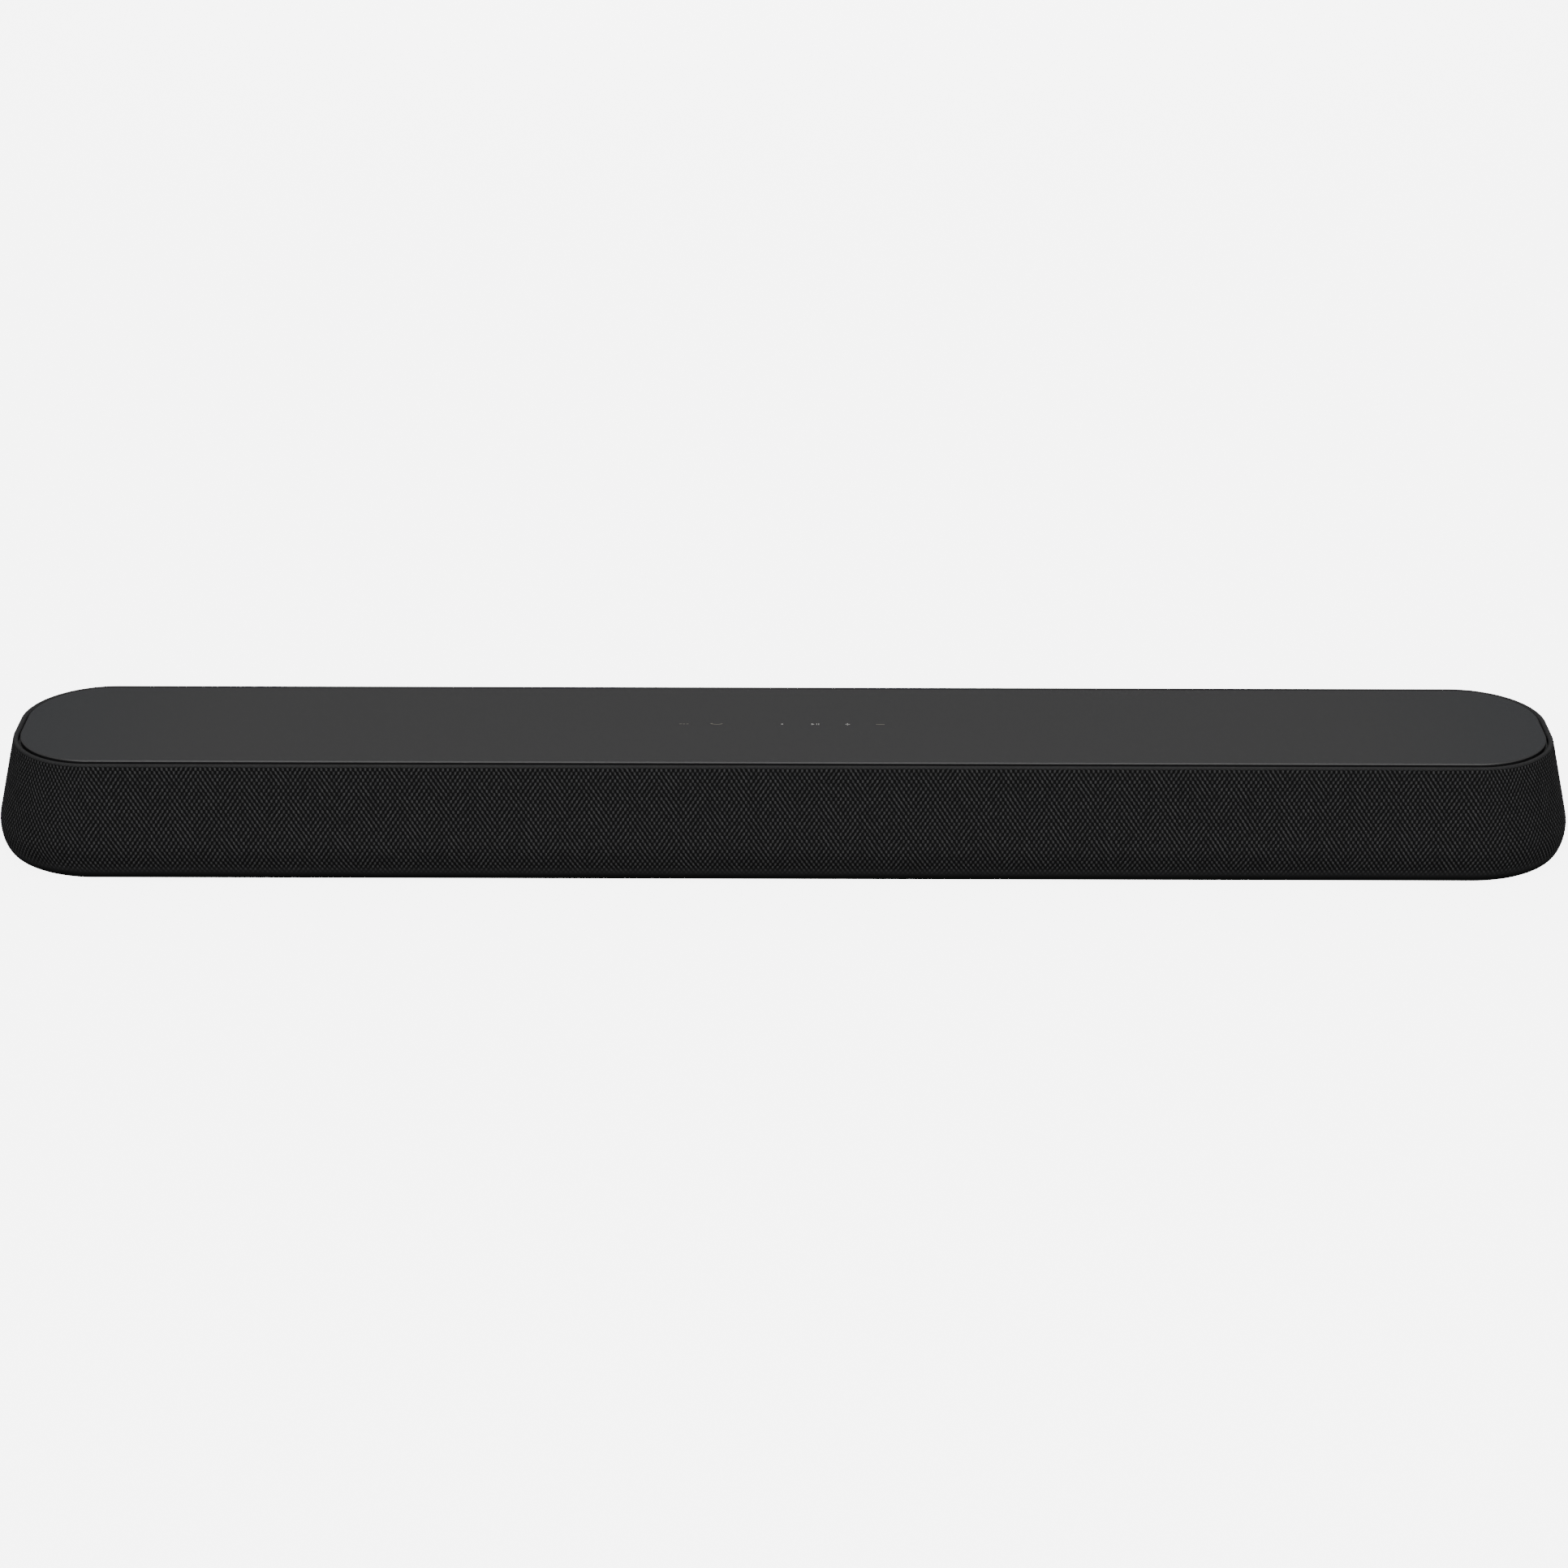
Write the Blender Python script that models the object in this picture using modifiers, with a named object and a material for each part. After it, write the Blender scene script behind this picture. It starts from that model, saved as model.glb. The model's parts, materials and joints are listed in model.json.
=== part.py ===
"""Soundbar: a compact one-piece bar with a knit skin round a slotted frame, a touch plate on top,
two racetrack woofers and a round centre driver at the front, and two passive radiators at the rear.

Metres, +Z up. The front faces -Y and +X is to the right of someone who faces it. The origin is under the
middle of the bar, on the surface that its feet stand on.
"""

import math

import bmesh
import bpy
from mathutils import Matrix, Vector

# ---------------------------------------------------------------- driving dimensions
LENGTH = 0.850
DEPTH = 0.125
BODY_HEIGHT = 0.064
FOOT_PROUD = 0.0015

# Plan of the widest line: a rounded rectangle with elliptical corners.
CORNER_ALONG = 0.0573
CORNER_ACROSS = 0.0532
CORNER_STEPS = 8

# Side profile of the skin, from the underside up.
WIDEST_HEIGHT = 0.0153
LOWER_TUCK = 0.0061
BELLY_RADIUS = 0.025
TOP_LEAN = 0.0112

# Gaps
TOUCH_GAP = 0.0003
SLIDE_GAP = 0.0005

# Skin and the frame under it
FABRIC = 0.0008
FRAME_WALL = 0.0020
FRAME_RIM_WALL = 0.0012
FRAME_RIM_HEIGHT = 0.0035
FRAME_FLANGE = 0.0042
SKIN_BOTTOM_TURN = 0.0029
SLOT_RIB = 0.0030
SLOT_WIDTH = 0.0180
SLOT_MARGIN = 0.0060

# Top plate, deck and touch board
PLATE_THICKNESS = 0.0030
PLATE_PROUD = 0.0005
PLATE_REVEAL = 0.0036
PLATE_CHAMFER = 0.0004
DECK_THICKNESS = 0.0035
TOUCH_BOARD_LENGTH = 0.130
TOUCH_BOARD_WIDTH = 0.024
TOUCH_BOARD_THICKNESS = 0.0012
TOUCH_BOARD_Y = 0.003
RIBBON_WIDTH = 0.012
RIBBON_THICKNESS = 0.0004
RIBBON_BEND = 0.0014
RIBBON_OVERLAP = 0.008

# Cabinet
CABINET_INSET = 0.0155
CABINET_WALL = 0.0025
FLOOR_THICKNESS = 0.0030
PARTITION_FROM_END = 0.245
PARTITION_WALL = 0.0020
PARTITION_NOTCH = 0.008
POST_RADIUS = 0.0040

# Drivers. A racetrack is a circle drawn out along X by its straight on each side of the middle.
WOOFER_FROM_END = 0.125
WOOFER_STRAIGHT = 0.026
CENTRE_STRAIGHT = 0.0
RADIATOR_FROM_END = 0.125
RADIATOR_STRAIGHT = 0.034
ARC_STEPS = 8
HOLE_RADIUS = 0.0210
FLANGE_LAND = 0.0040
FLANGE_WALL = 0.0012
LIP_WIDTH = 0.0015
SURROUND_WALL = 0.0007
WOOFER_ROLL = 0.0064
CENTRE_ROLL = 0.0045
CONE_WALL = 0.0007
CONE_DEPTH = 0.0065
CONE_WIDTH = 0.00305
DUST_DOME = 0.0020
CUP_DEPTH = 0.0150
CUP_TAPER = 0.0006
CUP_NARROWING = 0.0012
CUP_BACK_LEDGE = 0.0058
WINDOW_WIDTH = 0.0090
TURN_STEPS = 18
COIL_WALL = 0.0006
COIL_LENGTH = 0.0155
COIL_GAP = 0.0005
SPIDER_SETBACK = 0.0013
SPIDER_RISE = 0.0012
SPIDER_WAVES = 3
MAGNET_OVERHANG = 0.0022
MAGNET_DEPTH = 0.0165
MAGNET_BACK = 0.0045
RADIATOR_PLATE = 0.0016
RADIATOR_WEIGHT = 0.0020
RADIATOR_CROWN = 0.0004

# Rear bay
BAY_LENGTH = 0.150
BAY_LOW = 0.0280
BAY_HIGH = 0.0520
BAY_DEPTH = 0.0305
BAY_WALL = 0.0020
BEZEL_WIDTH = 0.0025
BEZEL_PROUD = 0.0008

# Boards and what stands on them
BOARD_THICKNESS = 0.0016
BOARD_MARGIN = 0.0040
INLET_MARGIN = 0.0100
SOCKET_DEPTH = 0.0092
MODULE_SIZE = (0.0240, 0.0030, 0.0150)
MODULE_X = -0.062
SINK_LENGTH = 0.034
SINK_HEIGHT = 0.032
SINK_DEPTH = 0.012
SINK_BASE = 0.0025
SINK_X = -0.029
FIN_COUNT = 7
FIN_WALL = 0.0014
POWER_BOARD_LENGTH = 0.076
POWER_BOARD_WIDTH = 0.064
POWER_BOARD_FROM_RIB = 0.008
STANDOFF_HEIGHT = 0.0060
STANDOFF_RADIUS = 0.0030
STANDOFF_MARGIN = 0.0050
TRANSFORMER_SIZE = (0.026, 0.026, 0.022)
TRANSFORMER_Y = -0.009
WINDING_RADIUS = 0.0100
WINDING_PROUD = 0.0030
CAPACITOR_RADIUS = 0.0080
CAPACITOR_HEIGHT = 0.030
CAPACITOR_Y = 0.018
CAPACITOR_FROM_END = 0.016

# Sockets, each by its middle along X, its outer width and height
SOCKET_BACK_WALL = 0.0010
TONGUE_SETBACK = 0.0010
HDMI_X = -0.006
HDMI_SIZE = (0.0152, 0.0062)
HDMI_MOUTH = (0.0140, 0.0046)
HDMI_TONGUE = (0.0104, 0.0012, 0.0)
OPTICAL_X = 0.020
OPTICAL_SIZE = (0.0104, 0.0104)
OPTICAL_MOUTH = (0.0064, 0.0064)
USB_X = -0.036
USB_SIZE = (0.0144, 0.0072)
USB_MOUTH = (0.0128, 0.0052)
USB_TONGUE = (0.0110, 0.0018, 0.0008)
INLET_SIZE = (0.0240, 0.0150)
INLET_MOUTH = (0.0156, 0.0084)
INLET_DEPTH = 0.0140
INLET_BACK_WALL = 0.0030
INLET_PIN_SETBACK = 0.0010
INLET_PIN_RADIUS = 0.0012
INLET_PIN_SPACING = 0.0086
INLET_FROM_BAY_END = 0.005

# Feet, inserts and screws
FOOT_FROM_END = 0.135
FOOT_FROM_SIDE = 0.0265
FOOT_LENGTH = 0.044
FOOT_WIDTH = 0.011
FOOT_RECESS = 0.0008
FOOT_EDGE = 0.0006
INSERT_FROM_END = 0.225
INSERT_FROM_SIDE = 0.0365
INSERT_RADIUS = 0.0030
INSERT_BORE = 0.0020
INSERT_LENGTH = 0.0070
SCREW_RADIUS = 0.00125
SCREW_HEAD_RADIUS = 0.0024
SCREW_HEAD = 0.0013
BASE_SCREW_FROM_END = 0.185
BASE_SCREW_LENGTH = 0.0045
DECK_SCREW_LENGTH = 0.0080
DECK_SCREW_FROM_END = 0.055
DECK_SCREW_FROM_SIDE = 0.0365

# Leads
LEAD_RADIUS = 0.0011
MAINS_RADIUS = 0.0016
LEAD_Y = 0.010
LEAD_LIFT = 0.0010

# ---------------------------------------------------------------- levels worked out from the sizes above
HALF_LENGTH = LENGTH / 2
HALF_DEPTH = DEPTH / 2
UNDERSIDE = FOOT_PROUD
TOP = UNDERSIDE + BODY_HEIGHT
SKIN_BACKING = FABRIC + TOUCH_GAP
PLATE_TOP = TOP + PLATE_PROUD
PLATE_UNDER = PLATE_TOP - PLATE_THICKNESS
DECK_TOP = PLATE_UNDER - TOUCH_GAP
DECK_UNDER = DECK_TOP - DECK_THICKNESS
WALL_TOP = DECK_UNDER - TOUCH_GAP
FLOOR_TOP = UNDERSIDE + FLOOR_THICKNESS
PLATE_INSET = TOP_LEAN + PLATE_REVEAL
CABINET_FRONT = HALF_DEPTH - CABINET_INSET
BAFFLE_BACK = CABINET_FRONT - CABINET_WALL
DRIVER_Z = (FLOOR_TOP + WALL_TOP) / 2
FLANGE_RADIUS = HOLE_RADIUS + FLANGE_LAND
LIP_RADIUS = HOLE_RADIUS - SLIDE_GAP
CUP_MOUTH_RADIUS = LIP_RADIUS - LIP_WIDTH
CUP_BACK_RADIUS = CUP_MOUTH_RADIUS - CUP_NARROWING
CUP_BACK_HOLE = CUP_BACK_RADIUS - CUP_BACK_LEDGE
SPIDER_RADIUS = CUP_BACK_RADIUS - SPIDER_SETBACK
MAGNET_RADIUS = CUP_BACK_RADIUS + MAGNET_OVERHANG
CONE_INSET = LIP_WIDTH / 2 + SLIDE_GAP
COIL_RADIUS = CUP_MOUTH_RADIUS - WOOFER_ROLL - CONE_INSET - CONE_WIDTH
WOOFER_X = HALF_LENGTH - WOOFER_FROM_END
RADIATOR_X = HALF_LENGTH - RADIATOR_FROM_END
PARTITION_X = HALF_LENGTH - PARTITION_FROM_END
RIM_TOP = TOP - SKIN_BACKING
FRAME_BOTTOM = UNDERSIDE + SKIN_BACKING
SKIN_END = LOWER_TUCK + SKIN_BOTTOM_TURN
TRAY_RIM = SKIN_END + TOUCH_GAP
FLANGE_TOP = FRAME_BOTTOM + FRAME_FLANGE
BAY_FLOOR_Y = HALF_DEPTH - BAY_DEPTH
SOCKET_Z = (BAY_LOW + BAY_HIGH) / 2
SOCKET_FRONT = BAY_FLOOR_Y + 2 * TOUCH_GAP
INLET_X = BAY_LENGTH / 2 - INLET_FROM_BAY_END - INLET_SIZE[0] / 2
MAIN_BOARD_BACK = BAY_FLOOR_Y + TOUCH_GAP - SOCKET_DEPTH
MAIN_BOARD_FRONT = MAIN_BOARD_BACK - BOARD_THICKNESS
MAIN_BOARD_LEFT = -BAY_LENGTH / 2
MAIN_BOARD_RIGHT = INLET_X - INLET_SIZE[0] / 2 - INLET_MARGIN
MAIN_BOARD_TOP = WALL_TOP - BOARD_MARGIN
MAIN_BOARD_BOTTOM = FLOOR_TOP + BOARD_MARGIN
POWER_BOARD_X = PARTITION_X - POWER_BOARD_FROM_RIB - POWER_BOARD_LENGTH / 2
POWER_BOARD_Z = FLOOR_TOP + STANDOFF_HEIGHT
POWER_BOARD_TOP = POWER_BOARD_Z + BOARD_THICKNESS
LONG_CUT = 0.3
SMALL_CUT = 0.002


# ---------------------------------------------------------------- outlines
def lean_angle():
    """The angle from upright of the straight upper part of the skin, which runs off the belly's arc."""
    angle = 0.0
    rise = BODY_HEIGHT - WIDEST_HEIGHT
    for _ in range(30):
        inward = TOP_LEAN - BELLY_RADIUS * (1 - math.cos(angle))
        angle = math.atan2(inward, rise - BELLY_RADIUS * math.sin(angle))
    return angle


LEAN = lean_angle()


def skin_inset(z):
    """How far the skin stands in from the widest line at height z."""
    up = z - UNDERSIDE - WIDEST_HEIGHT
    if up < 0:
        share = min(-up / WIDEST_HEIGHT, 1.0)
        return LOWER_TUCK * (1 - math.sqrt(1 - share * share))
    arc_top = BELLY_RADIUS * math.sin(LEAN)
    if up < arc_top:
        return BELLY_RADIUS - math.sqrt(BELLY_RADIUS**2 - up * up)
    return BELLY_RADIUS * (1 - math.cos(LEAN)) + (up - arc_top) * math.tan(LEAN)


def skin_profile(inward, low_steps=4, belly_steps=2):
    """Points (inset, z) up the outside of a shell this far inside the skin, from its flat bottom."""
    points = []
    for step in range(low_steps + 1):
        turn = math.pi / 2 * step / low_steps
        inset = LOWER_TUCK * (1 - math.sin(turn)) + inward * math.sin(turn)
        z = UNDERSIDE + WIDEST_HEIGHT - (WIDEST_HEIGHT - inward) * math.cos(turn)
        points.append((inset, z))
    for step in range(1, belly_steps + 1):
        turn = LEAN * step / belly_steps
        radius = BELLY_RADIUS - inward
        inset = BELLY_RADIUS - radius * math.cos(turn)
        points.append((inset, UNDERSIDE + WIDEST_HEIGHT + radius * math.sin(turn)))
    return points


def plan_ring(inset, z, steps=CORNER_STEPS):
    """The plan outline this far inside the widest line, as points at height z, anticlockwise from above."""
    corner = []
    for step in range(steps + 1):
        turn = math.pi / 2 * step / steps
        x = HALF_LENGTH - CORNER_ALONG + CORNER_ALONG * math.cos(turn)
        y = HALF_DEPTH - CORNER_ACROSS + CORNER_ACROSS * math.sin(turn)
        out_x = math.cos(turn) / CORNER_ALONG
        out_y = math.sin(turn) / CORNER_ACROSS
        size = math.hypot(out_x, out_y)
        corner.append((x - inset * out_x / size, y - inset * out_y / size))
    ring = corner
    ring = ring + [(-x, y) for x, y in reversed(corner)]
    ring = ring + [(-x, -y) for x, y in corner]
    ring = ring + [(x, -y) for x, y in reversed(corner)]
    return [Vector((x, y, z)) for x, y in ring]


def racetrack_ring(straight, radius, z, steps=ARC_STEPS):
    """A racetrack outline in the XY plane at height z. With no straight it is a circle."""
    ring = []
    for side, start in ((1, -math.pi / 2), (-1, math.pi / 2)):
        for step in range(steps + 1):
            turn = start + math.pi * step / steps
            ring.append(Vector((side * straight + radius * math.cos(turn), radius * math.sin(turn), z)))
    return ring


# ---------------------------------------------------------------- modelling helpers
def clear_scene():
    for old in list(bpy.data.objects):
        bpy.data.objects.remove(old, do_unlink=True)


def new_collection(name):
    made = bpy.data.collections.new(name)
    bpy.context.scene.collection.children.link(made)
    return made


def make_material(name, colour, roughness, metallic=0.0):
    made = bpy.data.materials.new(name)
    made.use_nodes = True
    shader = made.node_tree.nodes["Principled BSDF"]
    shader.inputs["Base Color"].default_value = (*colour, 1.0)
    shader.inputs["Roughness"].default_value = roughness
    shader.inputs["Metallic"].default_value = metallic
    return made


def add_object(name, mesh, material=None, parent=None, smooth=True):
    """Puts a mesh in the soundbar's collection as a named node."""
    made = bpy.data.objects.new(name, mesh)
    PARTS.objects.link(made)
    if material:
        mesh.materials.append(material)
    if smooth:
        mesh.shade_smooth()
        mesh.set_sharp_from_angle(angle=math.radians(35))
    made.parent = parent
    return made


def add_cutter(name, mesh, parent=None):
    """A helper solid for a Boolean, kept out of the render."""
    made = bpy.data.objects.new(name, mesh)
    CUTTERS.objects.link(made)
    made.hide_render = True
    made.display_type = "WIRE"
    made.parent = parent
    return made


def finish_mesh(form, name):
    bmesh.ops.remove_doubles(form, verts=form.verts, dist=1e-7)
    bmesh.ops.recalc_face_normals(form, faces=form.faces)
    mesh = bpy.data.meshes.new(name)
    form.to_mesh(mesh)
    form.free()
    return mesh


def loft(name, rings, closed=False, start_cap=True, end_cap=True):
    """A surface through rings of equal counts. Closed joins the last ring to the first, like a tyre."""
    form = bmesh.new()
    loops = [[form.verts.new(point) for point in ring] for ring in rings]
    pairs = list(zip(loops, loops[1:]))
    if closed:
        pairs.append((loops[-1], loops[0]))
    for lower, upper in pairs:
        for i in range(len(lower)):
            j = (i + 1) % len(lower)
            form.faces.new((lower[i], lower[j], upper[j], upper[i]))
    if not closed and start_cap:
        form.faces.new(list(reversed(loops[0])))
    if not closed and end_cap:
        form.faces.new(loops[-1])
    return finish_mesh(form, name)


def box_form(form, low, high):
    size = [b - a for a, b in zip(low, high)]
    middle = [(a + b) / 2 for a, b in zip(low, high)]
    place = Matrix.Translation(middle) @ Matrix.Diagonal((*size, 1.0))
    bmesh.ops.create_cube(form, size=1.0, matrix=place)


def box(name, *corners):
    """One mesh of one or more boxes, each given by its low and high corner."""
    form = bmesh.new()
    for low, high in corners:
        box_form(form, low, high)
    mesh = bpy.data.meshes.new(name)
    form.to_mesh(mesh)
    form.free()
    return mesh


def rod_form(form, place, radius, low, high, segments=12):
    middle = Matrix.Translation((place[0], place[1], (low + high) / 2))
    bmesh.ops.create_cone(
        form,
        cap_ends=True,
        segments=segments,
        radius1=radius,
        radius2=radius,
        depth=high - low,
        matrix=middle,
    )


def rods(name, places, radius, low, high, segments=12):
    """One mesh of upright cylinders of one size, between two heights."""
    form = bmesh.new()
    for place in places:
        rod_form(form, place, radius, low, high, segments)
    mesh = bpy.data.meshes.new(name)
    form.to_mesh(mesh)
    form.free()
    return mesh


def add_turned(name, profile, material, parent=None, steps=TURN_STEPS, ring=False):
    """A turned node. Its profile runs down its outer side, and a ring's doesn't reach the axis."""
    form = bmesh.new()
    verts = [form.verts.new((radius, 0.0, z)) for radius, z in profile]
    for a, b in zip(verts, verts[1:]):
        form.edges.new((a, b))
    if ring:
        form.edges.new((verts[-1], verts[0]))
    mesh = bpy.data.meshes.new(name)
    form.to_mesh(mesh)
    form.free()
    made = add_object(name, mesh, material, parent, smooth=False)
    screw = made.modifiers.new("Turn", "SCREW")
    screw.steps = steps
    screw.render_steps = steps
    screw.use_merge_vertices = True
    screw.merge_threshold = 1e-6
    screw.use_smooth_shade = False
    return made


def cut(target, cutter, operation="DIFFERENCE"):
    step = target.modifiers.new(cutter.name, "BOOLEAN")
    step.operation = operation
    step.object = cutter
    step.solver = "EXACT"


def thicken(target, thickness, offset):
    step = target.modifiers.new("Wall", "SOLIDIFY")
    step.thickness = thickness
    step.offset = offset
    step.use_even_offset = True


def round_edges(target, width, segments=2, angle=35):
    step = target.modifiers.new("Edges", "BEVEL")
    step.width = width
    step.segments = segments
    step.limit_method = "ANGLE"
    step.angle_limit = math.radians(angle)


def axis_empty(name, x, y, z, faces_front=True):
    """An empty on a driver's axis. Its own +Z points out of the bar, to the front or to the rear."""
    made = bpy.data.objects.new(name, None)
    PARTS.objects.link(made)
    made.location = (x, y, z)
    made.rotation_euler = (math.pi / 2 if faces_front else -math.pi / 2, 0.0, 0.0)
    return made


# ---------------------------------------------------------------- skin and frame
def make_fabric_sleeve():
    """The knit skin: over the frame's rim at the top, down the outside, and in under the lower edge."""
    outer = [(SKIN_END, UNDERSIDE), *skin_profile(0.0)]
    top_inset = skin_inset(TOP)
    outer.append((skin_inset(TOP - FABRIC), TOP - FABRIC))
    outer.append((top_inset + FABRIC * 0.35, TOP - FABRIC * 0.25))
    outer.append((top_inset + FABRIC, TOP))
    rim_inner = top_inset + SKIN_BACKING + FRAME_RIM_WALL
    outer.append((rim_inner, TOP))
    inner = [(rim_inner, TOP - FABRIC)]
    inner.append((top_inset + FABRIC * 0.9, TOP - FABRIC))
    lining = skin_profile(FABRIC)
    lining.append((skin_inset(TOP - FABRIC * 2) + FABRIC, TOP - FABRIC * 2))
    inner += list(reversed(lining))
    inner.append((SKIN_END, UNDERSIDE + FABRIC))
    rings = [plan_ring(inset, z) for inset, z in outer + inner]
    sleeve = add_object("fabric_sleeve", loft("fabric_sleeve", rings, closed=True), FABRIC_KNIT)
    cut(sleeve, bay_cutter("fabric_bay_hole", TOUCH_GAP))
    return sleeve


def make_grille_frame():
    """The shell under the skin, with a thin rim at the top and a flange under the cabinet's edge."""
    outer = [(SKIN_END, FRAME_BOTTOM), *skin_profile(SKIN_BACKING)]
    rim = skin_inset(RIM_TOP) + SKIN_BACKING
    outer.append((rim, RIM_TOP))
    outer.append((rim + FRAME_RIM_WALL, RIM_TOP))
    shoulder = RIM_TOP - FRAME_RIM_HEIGHT
    wall = SKIN_BACKING + FRAME_WALL
    outer.append((skin_inset(shoulder) + SKIN_BACKING + FRAME_RIM_WALL, shoulder))
    outer.append((skin_inset(shoulder) + wall, shoulder - FRAME_WALL))
    for inset, z in reversed(skin_profile(wall)):
        if z > FLANGE_TOP + FRAME_WALL:
            outer.append((inset, z))
    outer.append((wall + LOWER_TUCK * 0.3, FLANGE_TOP))
    outer.append((CABINET_INSET - TOUCH_GAP, FLANGE_TOP))
    tray_rim_top = FLOOR_TOP + TOUCH_GAP
    outer.append((CABINET_INSET - TOUCH_GAP, tray_rim_top))
    outer.append((SKIN_END, tray_rim_top))
    rings = [plan_ring(inset, z) for inset, z in outer]
    frame = add_object("grille_frame", loft("grille_frame", rings, closed=True), MOULDED_PLASTIC)
    cut(frame, bay_cutter("frame_bay_hole", TOUCH_GAP))
    cut(frame, add_cutter("frame_slots", box("frame_slots", *slot_boxes())))
    cut(frame, shank_bores("frame_screw_bores", base_screw_places(), FLOOR_TOP, FLANGE_TOP + SMALL_CUT))
    return frame


def slot_boxes():
    """A row of slots before each driver, as wide as its surround."""
    pitch = SLOT_WIDTH + SLOT_RIB
    low, high = FLOOR_TOP + SLOT_MARGIN, WALL_TOP - SLOT_MARGIN
    slots = []
    for _, x, straight, front in driver_holes():
        count = round(2 * (straight + LIP_RADIUS) / pitch)
        near, far = CABINET_FRONT + TOUCH_GAP, HALF_DEPTH + LONG_CUT
        if front:
            near, far = -far, -near
        for i in range(count):
            left = x + pitch * (i - count / 2) + SLOT_RIB / 2
            slots.append(((left, near, low), (left + SLOT_WIDTH, far, high)))
    return slots


# ---------------------------------------------------------------- rear bay
def bay_box(grow, low_y, high_y):
    half = BAY_LENGTH / 2 + grow
    return ((-half, low_y, BAY_LOW - grow), (half, high_y, BAY_HIGH + grow))


def bay_cutter(name, gap):
    """The hole that the bay's box goes through, in the skin, the frame and the cabinet's rear wall."""
    return add_cutter(name, box(name, bay_box(BAY_WALL + gap, BAY_FLOOR_Y - BAY_WALL - gap, LONG_CUT)))


def skin_envelope(name, proud):
    """A solid whose sides stand this far outside the skin."""
    profile = skin_profile(-proud)
    profile.append((skin_inset(TOP) - proud, TOP))
    return loft(name, [plan_ring(inset, z) for inset, z in profile])


def make_rear_bay():
    """A box open to the rear, cut to the skin's lean, with a bezel that covers the skin's cut edge."""
    mouth = HALF_DEPTH + SMALL_CUT
    bay_mesh = box("rear_bay", bay_box(BAY_WALL, BAY_FLOOR_Y - BAY_WALL, mouth))
    bay = add_object("rear_bay", bay_mesh, BLACK_PLASTIC)
    bezel = add_cutter("bay_bezel", box("bay_bezel", bay_box(BAY_WALL + BEZEL_WIDTH, BAY_FLOOR_Y, mouth)))
    cut(bezel, add_cutter("bay_skin", skin_envelope("bay_skin", TOUCH_GAP)))
    cut(bay, bezel, "UNION")
    cut(bay, add_cutter("bay_limit", skin_envelope("bay_limit", BEZEL_PROUD)), "INTERSECT")
    cut(bay, add_cutter("bay_hollow", box("bay_hollow", bay_box(0.0, BAY_FLOOR_Y, LONG_CUT))))
    holes = []
    for x, (width, height) in socket_places():
        half_width, half_height = width / 2 + TOUCH_GAP, height / 2 + TOUCH_GAP
        low = (x - half_width, BAY_FLOOR_Y - 2 * BAY_WALL, SOCKET_Z - half_height)
        high = (x + half_width, BAY_FLOOR_Y + BAY_WALL, SOCKET_Z + half_height)
        holes.append((low, high))
    cut(bay, add_cutter("socket_holes", box("socket_holes", *holes)))
    return bay


def socket_places():
    return (
        (HDMI_X, HDMI_SIZE),
        (OPTICAL_X, OPTICAL_SIZE),
        (USB_X, USB_SIZE),
        (INLET_X, INLET_SIZE),
    )


# ---------------------------------------------------------------- cabinet
def make_base_tray():
    """The cabinet's floor and walls, with ribs, posts and standoffs, and holes for what it carries."""
    inner = CABINET_INSET + CABINET_WALL
    levels = [
        (TRAY_RIM, UNDERSIDE),
        (TRAY_RIM, FLOOR_TOP),
        (CABINET_INSET, FLOOR_TOP),
        (CABINET_INSET, WALL_TOP),
        (inner, WALL_TOP),
        (inner, FLOOR_TOP),
    ]
    tray_mesh = loft("base_tray", [plan_ring(inset, z) for inset, z in levels])
    tray = add_object("base_tray", tray_mesh, MOULDED_PLASTIC)
    for side, name in ((-1, "left_rib"), (1, "right_rib")):
        cut(tray, chamber_rib(name, side * PARTITION_X), "UNION")
    cut(tray, tray_posts(), "UNION")
    cut(tray, tray_bores())
    cut(tray, shank_bores("tray_screw_bores", base_screw_places(), UNDERSIDE, FLOOR_TOP + SMALL_CUT))
    for name, x, straight, front in driver_holes():
        axis = axis_empty(name + "_axis", x, -BAFFLE_BACK if front else BAFFLE_BACK, DRIVER_Z, front)
        rings = [racetrack_ring(straight, HOLE_RADIUS, z) for z in (-2 * CABINET_WALL, 2 * CABINET_WALL)]
        cut(tray, add_cutter(name, loft(name, rings), axis))
    cut(tray, bay_cutter("tray_bay_hole", TOUCH_GAP))
    return tray


def chamber_rib(name, x):
    """A wall between the speaker chamber and the electronics, notched at the floor for a lead."""
    half = PARTITION_WALL / 2
    reach = BAFFLE_BACK + CABINET_WALL / 2
    sunk = UNDERSIDE + FLOOR_THICKNESS / 2
    rib = add_cutter(name, box(name, ((x - half, -reach, sunk), (x + half, reach, WALL_TOP))))
    notch_name = name + "_notch"
    low = (x - PARTITION_WALL, LEAD_Y - PARTITION_NOTCH / 2, FLOOR_TOP)
    high = (x + PARTITION_WALL, LEAD_Y + PARTITION_NOTCH / 2, FLOOR_TOP + PARTITION_NOTCH)
    cut(rib, add_cutter(notch_name, box(notch_name, (low, high))))
    return rib


def tray_posts():
    """Posts for the deck's screws, bosses for the inserts, and standoffs for the power board."""
    sunk = UNDERSIDE + FLOOR_THICKNESS / 2
    boss_top = UNDERSIDE + INSERT_LENGTH + CABINET_WALL
    form = bmesh.new()
    for place in deck_screw_places():
        rod_form(form, place, POST_RADIUS, sunk, WALL_TOP)
    for place in insert_places():
        rod_form(form, place, INSERT_RADIUS + CABINET_WALL, sunk, boss_top)
    for place in standoff_places():
        rod_form(form, place, STANDOFF_RADIUS, sunk, POWER_BOARD_Z - TOUCH_GAP, 8)
    return add_cutter("tray_posts", finish_mesh(form, "tray_posts"))


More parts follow.
